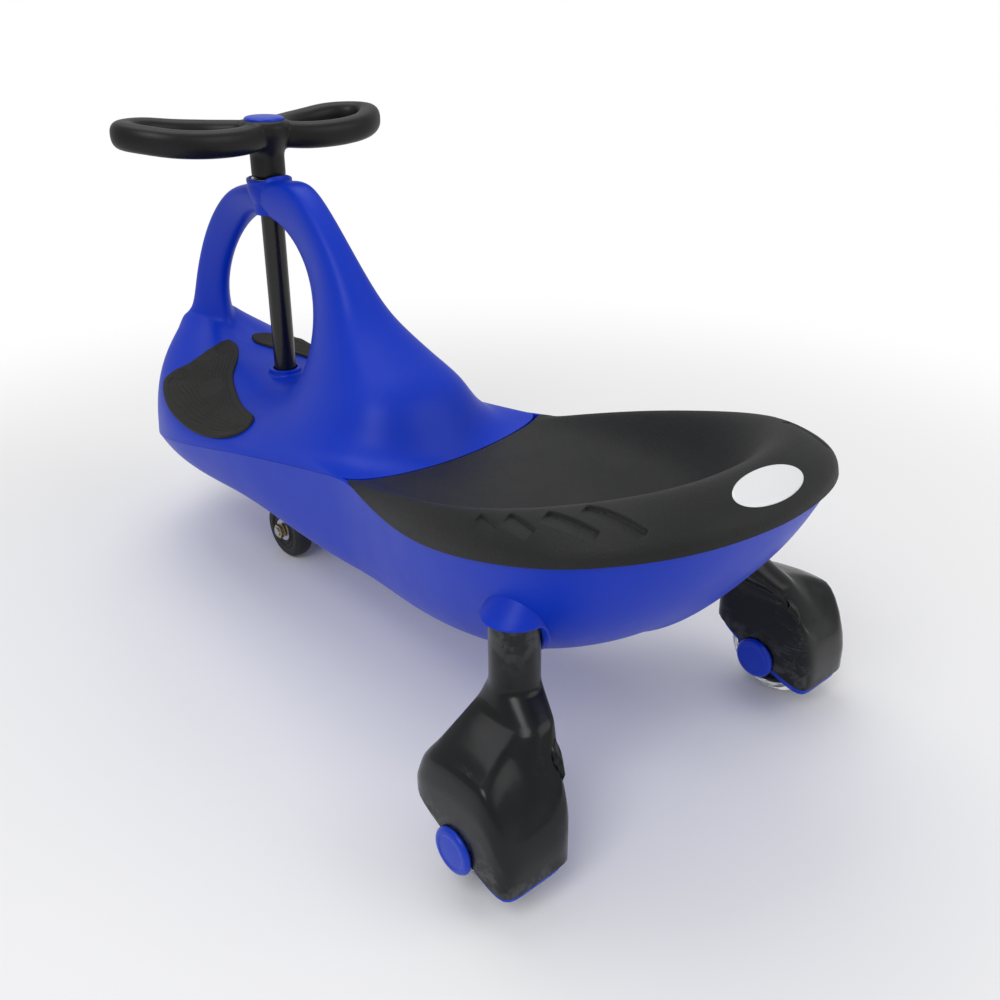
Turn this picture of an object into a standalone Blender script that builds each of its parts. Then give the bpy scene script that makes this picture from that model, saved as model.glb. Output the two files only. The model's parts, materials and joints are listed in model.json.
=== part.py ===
"""Swing car: a child's ride-on that moves when its handlebar is swung from side to side.

The car faces +X, its left side is +Y and +Z is up. Sizes are in metres. Every piece is first placed
from the steering column's foot, and the root empty then moves the whole car so that the origin lies
on the ground, below the middle of its bounding box.
"""

import math

import bmesh
import bpy
from mathutils import Matrix, Vector
from mathutils.bvhtree import BVHTree

MM = 0.001

# Overall reach, from the steering column's foot
NOSE_REACH = 0.1690
TAIL_REACH = 0.5400
CAR_MIDDLE_X = (NOSE_REACH - TAIL_REACH) / 2
DRAWN_NOSE_REACH = 0.1690
DRAWN_TAIL_REACH = 0.5400
DRAWN_DECK_HALF_WIDTH = 0.1030
DRAWN_SEAT_HALF_WIDTH = 0.1300

# Clearances between neighbours
SEAT_GAP = 0.0003
FIT_GAP = 0.0003
RUNNING_GAP = 0.0004
CUT_BEYOND = 0.0100

# Steering column
COLUMN_TILT = math.radians(1.8)
COLUMN_FOOT_Z = 0.176
TUBE_RADIUS = 0.0097
TUBE_WALL = 0.0016
COLLAR_RADIUS = 0.0191
COLLAR_TOP_Z = 0.3490
HUB_ABOVE_COLLAR = 0.0465
HUB_TOP_Z = COLLAR_TOP_Z + HUB_ABOVE_COLLAR
TUBE_BELOW_HUB_TOP = 0.0155
TUBE_TOP_Z = HUB_TOP_Z - TUBE_BELOW_HUB_TOP
COLLAR_NECK_Z = 0.3370
COLLAR_BOTTOM_Z = 0.3190
COLLAR_RECESS = 0.0032
COLLAR_SLEEVE_WALL = 0.0016
BUSH_WALL = 0.0030
BUSH_LENGTH = 0.0240
BUSH_FLANGE_RADIUS = 0.0162
BUSH_FLANGE_HEIGHT = 0.0012
WASHER_RADIUS = 0.0150
WASHER_HEIGHT = 0.0012
DECK_BOSS_RADIUS = 0.0165
DECK_BOSS_HEIGHT = 0.0060
HULL_BOSS_RADIUS = 0.0190
HULL_BOSS_HEIGHT = 0.0260
HULL_BOSS_BOTTOM_Z = 0.0630

# Shells
SHELL_WALL = 0.0026
HULL_WALL = 0.0028
KEEL_FRONT_Z = 0.0650
KEEL_BACK_Z = 0.0920
KEEL_FRONT_INSET = 0.0580
KEEL_BACK_INSET = 0.1140
DECK_HALF_WIDTH = 0.1030
SEAT_HALF_WIDTH = 0.1300
SEAT_WALL = 0.0030
SEAT_LIP = 0.0020
RIM_TRIM = 0.0001
BAND_HEIGHT = 0.0060
BAND_INWARD = 0.0090
BAND_OUTWARD = 0.0040
PAD_THICKNESS = 0.0026
PAD_GAP = 0.0007
BELOW_ARCH_Z = 0.2150
BADGE_DRAWN_X = -524
BADGE_LENGTH = 0.0600
BADGE_WIDTH = 0.0215
BADGE_THICKNESS = 0.0008

# Rear wheels and their legs
REAR_WHEEL_RADIUS = 0.0365
REAR_WHEEL_WIDTH = 0.0260
REAR_CORE_RADIUS = 0.0275
REAR_AXLE_X = -0.4545
REAR_WHEEL_Y = 0.1458
LEG_X = -0.4380
LEG_Y = 0.1120
NECK_RADIUS = 0.0157
NECK_BASE_Z = 0.1190
NECK_TOP_Z = 0.1640
SOCKET_RADIUS = 0.0212
SOCKET_LIP = 0.0025
SOCKET_OUTER_Z = 0.1670
SOCKET_TOP_Z = 0.1860
SOCKET_TOP_RADIUS = 0.0150
SOCKET_LEAN = 0.0130
SOCKET_STEPS = 20
HOOD_HALF_WIDTH = 0.0284
HOOD_FRONT = 0.0420
HOOD_BACK = 0.0430
HOOD_TILT = 0.0085
HOOD_ARCH = 0.0080
HOOD_ARCH_TOP = 0.55
HOOD_FALL_START = 0.70
HOOD_INNER_FALL = 0.80
HOOD_REAR_HEIGHTS = (0.0400, 0.0460, 0.0480)
HOOD_STEEP_INSET = 2.2
HOOD_BOTTOM_FRONT = 0.0580
HOOD_BOTTOM_BACK = 0.0250
HOOD_BOTTOM_CURVE = 1.3
HOOD_STEPS = 24
HOOD_WALL = 0.0028
FORK_WALL = 0.0070
FORK_LUG_RADIUS = 0.0140
FORK_DROP = 0.0060
FORK_ROOF_GAP = 0.0010
WHEEL_ROOM = 0.0010
AXLE_RADIUS = 0.0040
AXLE_CAP_RADIUS = 0.0155
AXLE_CAP_HEIGHT = 0.0045
BEARING_RADIUS = 0.0110
BEARING_WIDTH = 0.0070
AXLE_FIT = 0.0003

# Front wheels and their truck
FRONT_WHEEL_RADIUS = 0.0280
FRONT_WHEEL_WIDTH = 0.0180
FRONT_CORE_RADIUS = 0.0180
FRONT_WHEEL_Y = 0.0225
FRONT_TRAIL = 0.0230
TRUCK_STEM_RADIUS = 0.0118
TRUCK_STEM_BOTTOM_Z = 0.0340
TRUCK_PLATE_HALF_WIDTH = 0.0070
TRUCK_BOSS_RADIUS = 0.0090
NUT_RADIUS = 0.0070
NUT_HEIGHT = 0.0045

# Handlebar
GRIP_REACH = 0.1230
GRIP_RADIUS = 0.0108
HUB_RADIUS = 0.0220
HUB_SHOULDER = 0.0040
HUB_WAIST_DROP = 0.0120
SLEEVE_START_DROP = 0.0265
DRAWN_HUB_TOP_Z = 0.3955
CAP_RADIUS = 0.0165
CAP_HEIGHT = 0.0030
CAP_RECESS = 0.0100
BOLT_RADIUS = 0.0030
BOLT_LENGTH = 0.0260
SLEEVE_RADIUS = 0.0143
SLEEVE_BOTTOM_Z = COLLAR_TOP_Z - COLLAR_RECESS + BUSH_FLANGE_HEIGHT + WASHER_HEIGHT + 3 * RUNNING_GAP

# Screws
SCREW_HEAD_RADIUS = 0.0035
SCREW_SHANK_RADIUS = 0.0016
SCREW_LENGTH = 0.0120
SCREW_HEAD_HEIGHT = 0.0022
LEG_SCREW_LENGTH = 0.0280
LEG_SCREW_Y = 0.1060
POST_RADIUS = 0.0050
SCREW_BOSS_RADIUS = 0.0060
POST_STEPS = 10
SHELL_SCREW_PLACES = [(0.0600, 0.0), (-0.1000, 0.0400), (-0.1000, -0.0400)]
SEAT_SCREW_PLACES = [(-0.3300, 0.0450), (-0.3300, -0.0450), (-0.3850, 0.0)]

SIDES = {"left": 1.0, "right": -1.0}

# Deck edge, from the nose to the seat's front corner, in millimetres on a deck of DECK_HALF_WIDTH
DECK_EDGE = [
    (171, 0, 100),
    (165, 28, 100),
    (149, 58, 101),
    (115, 84, 106),
    (70, 98, 116),
    (20, 103, 127),
    (-30, 101, 137),
    (-78, 99, 147),
    (-124, 96.5, 155.5),
    (-172, 95, 164.5),
    (-210, 94.5, 171),
    (-240, 96, 177.5),
]

# Seat edge, from the seat's front corner round to the tail, in millimetres on a seat of SEAT_HALF_WIDTH
SEAT_EDGE = [
    (-240, 96, 177.5),
    (-276, 106, 178),
    (-340, 122, 181),
    (-400, 130, 193.5),
    (-451, 129, 207.5),
    (-483, 119, 214.5),
    (-512, 96, 221),
    (-530, 65, 223.5),
    (-538, 33, 224.5),
    (-541, 0, 224.5),
]

# Fullness of the hull's cross sections, from the nose to the tail
HULL_FULLNESS = [
    2.2, 2.2, 2.2, 2.3, 2.3, 2.4, 2.5, 2.9, 3.6, 4.2, 4.4,
    4.2, 3.5, 2.8, 2.5, 2.3, 2.1, 1.9, 1.7, 1.5, 1.4,
]


def metres(point, widen=1.0):
    """Return a drawn point at the car's real reach, with its sideways distance scaled by widen."""
    stretch = NOSE_REACH / DRAWN_NOSE_REACH if point[0] > 0 else TAIL_REACH / DRAWN_TAIL_REACH
    return Vector((point[0] * MM * stretch, point[1] * MM * widen, point[2] * MM))


def deck_widen():
    """Return how much wider the deck is than the one its ribs are drawn on."""
    return DECK_HALF_WIDTH / DRAWN_DECK_HALF_WIDTH


def seat_widen():
    """Return how much wider the seat is than the one its edge is drawn on."""
    return SEAT_HALF_WIDTH / DRAWN_SEAT_HALF_WIDTH


def clear_scene():
    """Remove every object of the open scene."""
    for old in list(bpy.data.objects):
        bpy.data.objects.remove(old, do_unlink=True)
    for old in list(bpy.data.collections):
        bpy.data.collections.remove(old)


def material(name, colour, roughness, metallic=0.0, alpha=1.0):
    """Return a Principled material with the given finish."""
    finish = bpy.data.materials.new(name)
    finish.use_nodes = True
    shader = finish.node_tree.nodes["Principled BSDF"]
    shader.inputs["Base Color"].default_value = (*colour, 1.0)
    shader.inputs["Roughness"].default_value = roughness
    shader.inputs["Metallic"].default_value = metallic
    shader.inputs["Alpha"].default_value = alpha
    finish.diffuse_color = (*colour, alpha)
    return finish


BLUE = (0.004, 0.045, 0.62)
BLACK = (0.012, 0.012, 0.013)
GREY = (0.030, 0.030, 0.030)
STEEL = (0.55, 0.56, 0.58)


def add_object(name, mesh, finish, parent, matrix=None, smooth_angle=35.0):
    """Put a mesh into the scene as a named object with its own material."""
    mesh.materials.clear()
    mesh.materials.append(material(name, *finish))
    made = bpy.data.objects.new(name, mesh)
    bpy.context.scene.collection.objects.link(made)
    made.parent = parent
    if matrix is not None:
        made.matrix_local = matrix
    mesh.shade_smooth()
    mesh.set_sharp_from_angle(angle=math.radians(smooth_angle))
    return made


def mesh_from(bm, name):
    """Turn a bmesh into a mesh whose faces point out."""
    bmesh.ops.recalc_face_normals(bm, faces=bm.faces)
    mesh = bpy.data.meshes.new(name)
    bm.to_mesh(mesh)
    bm.free()
    return mesh


def grid_mesh(name, rows, wrap=False):
    """Join rows of points, each as long as the others, into a grid of quads."""
    bm = bmesh.new()
    made = [[bm.verts.new(point) for point in row] for row in rows]
    count = len(rows)
    for i in range(count if wrap else count - 1):
        here = made[i]
        there = made[(i + 1) % count]
        for j in range(len(here) - 1):
            bm.faces.new((here[j], here[j + 1], there[j + 1], there[j]))
    return mesh_from(bm, name)


def turned(name, profile, steps=32):
    """Turn a closed profile of (radius, height) points about the Z axis."""
    bm = bmesh.new()
    rings = []
    for radius, height in profile:
        if radius < 1e-6:
            rings.append([bm.verts.new((0.0, 0.0, height))])
            continue
        ring = []
        for step in range(steps):
            angle = 2 * math.pi * step / steps
            ring.append(bm.verts.new((radius * math.cos(angle), radius * math.sin(angle), height)))
        rings.append(ring)
    count = len(rings)
    for i in range(count):
        low = rings[i]
        high = rings[(i + 1) % count]
        if len(low) == 1 and len(high) == 1:
            continue
        for step in range(steps):
            after = (step + 1) % steps
            if len(low) == 1:
                bm.faces.new((low[0], high[after], high[step]))
            elif len(high) == 1:
                bm.faces.new((low[step], low[after], high[0]))
            else:
                bm.faces.new((low[step], low[after], high[after], high[step]))
    return mesh_from(bm, name)


def tube_profile(inner, outer, bottom, top, edge=0.0):
    """Return the section of a ring, with its outer edges bevelled."""
    if edge <= 0.0:
        return [(inner, bottom), (outer, bottom), (outer, top), (inner, top)]
    return [
        (inner, bottom),
        (outer - edge, bottom),
        (outer, bottom + edge),
        (outer, top - edge),
        (outer - edge, top),
        (inner, top),
    ]


def disc_profile(radius, bottom, top, edge=0.0):
    """Return the section of a solid disc, with its upper edge bevelled."""
    if edge <= 0.0:
        return [(0.0, bottom), (radius, bottom), (radius, top), (0.0, top)]
    return [(0.0, bottom), (radius, bottom), (radius, top - edge), (radius - edge, top), (0.0, top)]


def across(x, y, z):
    """Return a frame whose Z axis runs along the car's +Y."""
    return Matrix.Translation((x, y, z)) @ Matrix.Rotation(math.radians(-90), 4, "X")


def boolean(target, operation, name, mesh, parent=None, matrix=None):
    """Join a hidden form to an object (UNION) or cut it away (DIFFERENCE); joins come before cuts."""
    key = f"{target.name}_{operation}"
    forms = bpy.data.collections.get(key)
    if forms is None:
        forms = bpy.data.collections.new(key)
        bpy.context.scene.collection.children.link(forms)
        step = target.modifiers.new(key, "BOOLEAN")
        step.operation = operation
        step.solver = "EXACT"
        step.operand_type = "COLLECTION"
        step.collection = forms
        before = target.modifiers.find(f"{target.name}_DIFFERENCE")
        if operation == "UNION" and before >= 0:
            target.modifiers.move(len(target.modifiers) - 1, before)
    made = bpy.data.objects.new(name, mesh)
    forms.objects.link(made)
    made.hide_render = True
    made.display_type = "WIRE"
    made.parent = parent
    if matrix is not None:
        made.matrix_local = matrix


def subdivide(target, levels):
    """Smooth a control cage."""
    step = target.modifiers.new("Smooth surface", "SUBSURF")
    step.levels = levels
    step.render_levels = levels
    return step


def mirror(target):
    """Complete a left half with its right one."""
    step = target.modifiers.new("Other half", "MIRROR")
    step.use_axis = (False, True, False)
    step.use_clip = True
    step.merge_threshold = 0.00005
    return step


def thicken(target, wall):
    """Give a surface its wall, towards the inside."""
    step = target.modifiers.new("Wall", "SOLIDIFY")
    step.thickness = wall
    step.offset = -1.0
    return step


def box_mesh(name, low, high):
    """Return a box between two corners."""
    bm = bmesh.new()
    size = [b - a for a, b in zip(low, high)]
    middle = [(a + b) / 2 for a, b in zip(low, high)]
    bmesh.ops.create_cube(bm, size=1.0, matrix=Matrix.Translation(middle) @ Matrix.Diagonal((*size, 1.0)))
    return mesh_from(bm, name)


def column_x(z):
    """Return where the tilted column's axis is at a height."""
    return -math.tan(COLUMN_TILT) * (z - COLUMN_FOOT_Z)


def column_frame(z):
    """Return the frame on the column's axis at a height, with its Z along the axis."""
    return Matrix.Translation((column_x(z), 0.0, z)) @ Matrix.Rotation(-COLUMN_TILT, 4, "Y")


def along_column(z):
    """Return a height as a distance from the column's foot along its axis."""
    return (z - COLUMN_FOOT_Z) / math.cos(COLUMN_TILT)


# Upper shell ribs, in millimetres. Each runs from the opening's wall (on the car's middle), over the
# wall's edge and the flank, to the outer edge: on the middle for the arch, on the deck's edge below.
ARCH_RIBS = [
    [(103, 0, 204), (105, 6, 205), (122, 16, 208), (144, 21, 208), (152, 0, 210)],
    [(103, 0, 230), (105, 6, 231), (120, 13, 236), (134, 18, 239), (138, 0, 241)],
    [(90, 0, 259), (92, 6, 260), (104, 12, 266), (116, 17.5, 271), (119, 0, 273)],
    [(66, 0, 286), (68, 6, 288), (79, 12, 296), (91, 17, 303), (94, 0, 305)],
    [(40, 0, 307), (41, 7, 308), (48, 13, 319), (57, 17, 330), (59, 0, 332)],
    [(20, 0, 316), (20, 9, 317), (22, 15, 328), (28, 18, 341), (28, 0, 342)],
    [(3, 0, 318), (3, 10, 319), (2, 15, 330), (0, 18, 343), (0, 0, 344)],
    [(-15, 0, 316), (-15, 9, 317), (-19, 14, 329), (-28, 17, 348), (-28, 0, 349)],
    [(-34, 0, 308), (-35, 7, 309), (-43, 12, 324), (-56, 15, 351), (-57, 0, 352)],
    [(-50, 0, 294), (-51, 6, 295), (-63, 11, 309), (-80, 15, 333), (-82, 0, 335)],
    [(-61, 0, 277), (-62, 6, 278), (-79, 12, 291), (-103, 16, 309), (-106, 0, 311)],
    [(-68, 0, 256), (-69, 7, 256), (-90, 17, 265), (-124, 20, 283), (-128, 0, 286)],
    [(-69, 0, 233), (-70, 9, 232), (-99, 28, 238), (-143, 28, 257), (-147, 0, 262)],
    [(-66, 0, 213), (-68, 13, 211), (-99, 38, 213), (-163, 41, 241), (-170, 0, 244)],
    [(-60, 0, 198), (-63, 19, 195), (-98, 50, 195), (-186, 52, 226), (-197, 0, 227)],
    [(-53, 0, 189), (-58, 25, 186), (-98, 60, 183), (-207, 63, 213), (-226, 0, 210)],
]
SADDLE_RIBS = [
    [(-46, 0, 184), (-52, 29, 181), (-97, 67, 176), (-214, 73, 199)],
    [(-39, 0, 181.5), (-46, 32, 178), (-93, 73, 170), (-206, 80, 188)],
    [(-33, 0, 180), (-39, 35, 175), (-86, 79, 165), (-184, 84, 178)],
]
SEAT_FRONT = [(-247, 0, 166.5), (-246, 38, 168), (-243, 74, 171.5)]
DECK_RIBS = [
    [(-28, 0, 179), (-32, 38, 173), (-79, 84, 160), (-163, 90, 170)],
    [(-23, 0, 178.5), (-26, 40, 171), (-70, 86, 157), (-140, 93, 162.5)],
    [(-18, 0, 178), (-20, 42, 170), (-60, 88, 153), (-117, 94.5, 158)],
    [(-12, 0, 178), (-12, 44, 169), (-45, 89, 151), (-86, 96, 153)],
    [(-4, 0, 178), (-4, 45, 169), (-25, 90, 150), (-53, 98, 147.5)],
    [(5, 0, 178), (6, 45, 170), (0, 88, 151), (-15, 99, 144)],
    [(16, 0, 178), (18, 43, 172), (22, 84, 155), (23, 99, 141)],
    [(30, 0, 178.5), (33, 40, 175), (46, 77, 163), (63, 95, 145)],
    [(46, 0, 179), (48, 35, 179), (70, 67, 174), (104, 85, 154)],
    [(62, 0, 180), (64, 28, 184), (88, 52, 185), (134, 69, 172)],
    [(76, 0, 182.5), (79, 20, 189), (104, 36, 195), (152, 52, 188)],
    [(88, 0, 187), (92, 13, 195), (114, 26, 203), (162, 37, 198)],
]
NOSE_RIB = [(98, 0, 194), (101, 8, 200), (121, 20, 208), (161, 28, 207), (175, 0, 172)]


def shell_rows():
    """Return the ribs of the upper shell's left half as rows of points."""
    wide = deck_widen()
    rows = [[metres(point, wide) for point in rib] for rib in ARCH_RIBS]
    for rib, end in zip(SADDLE_RIBS, SEAT_FRONT):
        rows.append([metres(point, wide) for point in [*rib, end]])
    for rib, end in zip(DECK_RIBS, reversed(DECK_EDGE)):
        rows.append([metres(point, wide) for point in [*rib, end]])
    rows.append([metres(point, wide) for point in NOSE_RIB])
    return rows


def make_upper_shell(root, column):
    """Make the deck, the saddle and the arch that carries the column's collar."""
    mesh = grid_mesh("upper_shell", shell_rows(), wrap=True)
    shell = add_object("upper_shell", mesh, (BLUE, 0.42), root)
    mirror(shell)
    subdivide(shell, 1)
    thicken(shell, SHELL_WALL)
    bore_radius = TUBE_RADIUS + BUSH_WALL + FIT_GAP
    sleeve_radius = bore_radius + COLLAR_SLEEVE_WALL
    top = along_column(COLLAR_TOP_Z)
    bottom = along_column(COLLAR_BOTTOM_Z)
    collar_outline = [
        (0.0, bottom),
        (sleeve_radius, bottom),
        (sleeve_radius, along_column(COLLAR_NECK_Z)),
        (COLLAR_RADIUS, along_column(COLLAR_NECK_Z) + 0.0020),
        (COLLAR_RADIUS, top - 0.0010),
        (COLLAR_RADIUS - 0.0008, top),
        (0.0, top),
    ]
    bore_outline = [
        (0.0, bottom - 0.030),
        (bore_radius, bottom - 0.030),
        (bore_radius, top - COLLAR_RECESS),
        (BUSH_FLANGE_RADIUS + FIT_GAP, top - COLLAR_RECESS),
        (BUSH_FLANGE_RADIUS + FIT_GAP, top + 0.010),
        (0.0, top + 0.010),
    ]
    collar = turned("collar_form", collar_outline, 24)
    bore = turned("collar_bore", bore_outline, 24)
    boss_outline = disc_profile(DECK_BOSS_RADIUS, -SHELL_WALL, DECK_BOSS_HEIGHT, 0.0015)
    boss = turned("deck_boss_form", boss_outline, 24)
    deck_hole = turned("deck_hole", disc_profile(TUBE_RADIUS + RUNNING_GAP * 3, -0.03, 0.03), 24)
    edge = [metres(point, deck_widen()) for point in DECK_EDGE]
    band = parting_band("shell_rim_band", edge, -BAND_HEIGHT, RIM_TRIM)
    boolean(shell, "DIFFERENCE", "shell_rim_band", band, root)
    boolean(shell, "UNION", "collar_form", collar, column)
    boolean(shell, "DIFFERENCE", "collar_bore", bore, column)
    boolean(shell, "UNION", "deck_boss_form", boss, column)
    boolean(shell, "DIFFERENCE", "deck_hole", deck_hole, column)
    return shell


def mirrored(point):
    """Return a point's twin on the car's other side."""
    return Vector((point.x, -point.y, point.z))


def smoothed_edge(points):
    """Return an edge line, drawn from the nose along the left side, as one round of smoothing leaves it."""
    line = []
    last = len(points) - 1
    for i, point in enumerate(points):
        before = points[i - 1] if i > 0 else mirrored(points[1])
        after = points[i + 1] if i < last else mirrored(points[last - 1])
        ends_at_side = i == last and abs(point.y) > FIT_GAP
        line.append(point.copy() if ends_at_side else (before + 6 * point + after) / 8)
        if i < last:
            line.append((point + points[i + 1]) / 2)
    return line


def parting_band(name, points, low, high):
    """Return a band along an edge line on both sides of the car, from a low to a high offset in height."""
    left = smoothed_edge(points)
    closed = abs(points[-1].y) < FIT_GAP
    line = left + [mirrored(point) for point in reversed(left[1:-1] if closed else left[1:])]
    count = len(line)
    bm = bmesh.new()
    rings = []
    turning = left.index(left[-1])
    for i, point in enumerate(line):
        at_end = not closed and i in (turning, turning + 1)
        ahead = line[(i + 1) % count] if not (at_end and i == turning) else point
        behind = line[i - 1] if not (at_end and i == turning + 1) else point
        along = (ahead - behind).normalized()
        outward = Vector((along.y, -along.x, 0.0)).normalized()
        ring = []
        corners = ((-BAND_INWARD, low), (BAND_OUTWARD, low), (BAND_OUTWARD, high), (-BAND_INWARD, high))
        for reach, height in corners:
            ring.append(bm.verts.new(point + outward * reach + Vector((0.0, 0.0, height))))
        rings.append(ring)
    for i in range(count):
        here = rings[i]
        there = rings[(i + 1) % count]
        if not closed and i == turning:
            bm.faces.new(here)
            bm.faces.new(there)
            continue
        for j in range(4):
            after = (j + 1) % 4
            bm.faces.new((here[j], here[after], there[after], there[j]))
    return mesh_from(bm, name)


def hull_section(top, keel, fullness, steps=3):
    """Return a row from the hull's edge down to its keel, on a rounded section."""
    row = []
    for step in range(steps + 1):
        angle = math.pi / 2 * step / steps
        reach = max(0.0, math.cos(angle)) ** (2 / fullness)
        drop = math.sin(angle) ** (2 / fullness)
        side = keel.lerp(top, reach)
        row.append(Vector((side.x, side.y, top.z + (keel.z - top.z) * drop)))
    return row


def keel_point(share):
    """Return the keel's point for a share of the way from the nose to the tail."""
    front_x = NOSE_REACH - KEEL_FRONT_INSET
    back_x = KEEL_BACK_INSET - TAIL_REACH
    height = KEEL_FRONT_Z + (KEEL_BACK_Z - KEEL_FRONT_Z) * share ** 3
    return Vector((front_x + (back_x - front_x) * share, 0.0, height))


def hull_edge():
    """Return the hull's left edge, from the nose to the tail."""
    edge = [metres(point, deck_widen()) for point in DECK_EDGE]
    for point in SEAT_EDGE[1:]:
        place = metres(point, seat_widen())
        inward = Vector((place.x + 0.42, place.y, 0.0)).normalized() * SEAT_LIP
        edge.append(place - inward)
    return [point - Vector((0.0, 0.0, SEAT_GAP)) for point in edge]


def hull_rows():
    """Return the rows of the hull's left half, from its edge to its keel."""
    edge = hull_edge()
    last = len(edge) - 1
    rows = []
    for i, (top, fullness) in enumerate(zip(edge, HULL_FULLNESS)):
        rows.append(hull_section(top, keel_point(i / last), fullness))
    rows[0] = [Vector((point.x, 0.0, point.z)) for point in rows[0]]
    rows[-1] = [Vector((point.x, 0.0, point.z)) for point in rows[-1]]
    return rows


def surface_tree(made):
    """Return a search tree of an object's surface as it stands now, in its own frame."""
    bpy.context.view_layer.update()
    return BVHTree.FromObject(made, bpy.context.evaluated_depsgraph_get())


def height_below(tree, x, y):
    """Return the lowest height of a surface at a place."""
    found = tree.ray_cast(Vector((x, y, -1.0)), Vector((0.0, 0.0, 1.0)))
    return found[0].z if found[0] is not None else None


def height_above(tree, x, y, start=1.0):
    """Return the first height of a surface at a place, coming down from a start height."""
    found = tree.ray_cast(Vector((x, y, start)), Vector((0.0, 0.0, -1.0)))
    return found[0].z if found[0] is not None else None


def socket_form(name, outside, sign):
    """Return a leg socket that leans into the hull and stands a little proud of its flank."""
    bm = bmesh.new()
    low = []
    high = []
    for step in range(SOCKET_STEPS):
        angle = 2 * math.pi * step / SOCKET_STEPS
        cos = math.cos(angle)
        sin = math.sin(angle)
        x = LEG_X + SOCKET_RADIUS * cos
        y = sign * LEG_Y + SOCKET_RADIUS * sin
        height = height_below(outside, x, y)
        height = SOCKET_OUTER_Z if height is None else min(height, SOCKET_OUTER_Z)
        low.append(bm.verts.new((x, y, height - SOCKET_LIP)))
        top_y = sign * (LEG_Y - SOCKET_LEAN) + SOCKET_TOP_RADIUS * sin
        high.append(bm.verts.new((LEG_X + SOCKET_TOP_RADIUS * cos, top_y, SOCKET_TOP_Z)))
    for step in range(SOCKET_STEPS):
        after = (step + 1) % SOCKET_STEPS
        bm.faces.new((low[step], low[after], high[after], high[step]))
    centre = bm.verts.new((LEG_X, sign * LEG_Y, sum(v.co.z for v in low) / SOCKET_STEPS))
    for step in range(SOCKET_STEPS):
        after = (step + 1) % SOCKET_STEPS
        bm.faces.new((low[after], low[step], centre))
    bm.faces.new(high)
    return mesh_from(bm, name)


def make_lower_hull(root, column):
    """Make the boat-shaped underbody with its two leg sockets and the column's lower boss."""
    mesh = grid_mesh("lower_hull", hull_rows())
    hull = add_object("lower_hull", mesh, (BLUE, 0.42), root)
    mirror(hull)
    subdivide(hull, 1)
    thicken(hull, HULL_WALL)
    boss = turned(
        "hull_boss_form",
        disc_profile(
            HULL_BOSS_RADIUS,
            along_column(HULL_BOSS_BOTTOM_Z),
            along_column(HULL_BOSS_BOTTOM_Z) + HULL_BOSS_HEIGHT,
        ),
        28,
    )
    bore = turned(
        "hull_bore",
        disc_profile(
            TUBE_RADIUS + BUSH_WALL + FIT_GAP,
            along_column(HULL_BOSS_BOTTOM_Z) - CUT_BEYOND,
            along_column(HULL_BOSS_BOTTOM_Z) + HULL_BOSS_HEIGHT + CUT_BEYOND,
        ),
        28,
    )
    band = parting_band("hull_rim_band", hull_edge(), -RIM_TRIM, BAND_HEIGHT)
    boolean(hull, "DIFFERENCE", "hull_rim_band", band, root)
    boolean(hull, "UNION", "hull_boss_form", boss, column)
    boolean(hull, "DIFFERENCE", "hull_bore", bore, column)
    add_sockets(hull, root)
    return hull


def add_sockets(hull, root):
    """Add the two sockets that take the necks of the legs, each with a hole for its screw."""
    outside = surface_tree(hull)
    for side, sign in SIDES.items():
        place = Matrix.Translation((LEG_X, sign * LEG_Y, 0.0))
        socket = socket_form(f"socket_form_{side}", outside, sign)
        hole = turned(
            f"socket_bore_{side}",
            disc_profile(NECK_RADIUS + FIT_GAP, 0.0, NECK_TOP_Z + FIT_GAP),
            24,
        )
        boolean(hull, "UNION", f"socket_form_{side}", socket, root)
        boolean(hull, "DIFFERENCE", f"socket_bore_{side}", hole, root, place)
        pilot = turned(f"socket_screw_{side}", disc_profile(SCREW_SHANK_RADIUS + FIT_GAP, 0.1500, 0.2000), 12)
        place = Matrix.Translation((LEG_X, sign * LEG_SCREW_Y, 0.0))
        boolean(hull, "DIFFERENCE", f"socket_screw_{side}", pilot, root, place)


def post_form(name, x, y, bottom, tree, sink):
    """Return a post from a level bottom up into the underside of a surface above it."""
    bm = bmesh.new()
    low = []
    high = []
    for step in range(POST_STEPS):
        angle = 2 * math.pi * step / POST_STEPS
        at_x = x + POST_RADIUS * math.cos(angle)
        at_y = y + POST_RADIUS * math.sin(angle)
        found = tree.ray_cast(Vector((at_x, at_y, bottom)), Vector((0.0, 0.0, 1.0)))
        low.append(bm.verts.new((at_x, at_y, bottom)))
        high.append(bm.verts.new((at_x, at_y, found[0].z + sink)))
    middle = bm.verts.new((x, y, sum(v.co.z for v in high) / POST_STEPS))
    for step in range(POST_STEPS):
        after = (step + 1) % POST_STEPS
        bm.faces.new((low[step], low[after], high[after], high[step]))
        bm.faces.new((high[step], high[after], middle))
    bm.faces.new(low)
    return mesh_from(bm, name)


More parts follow.
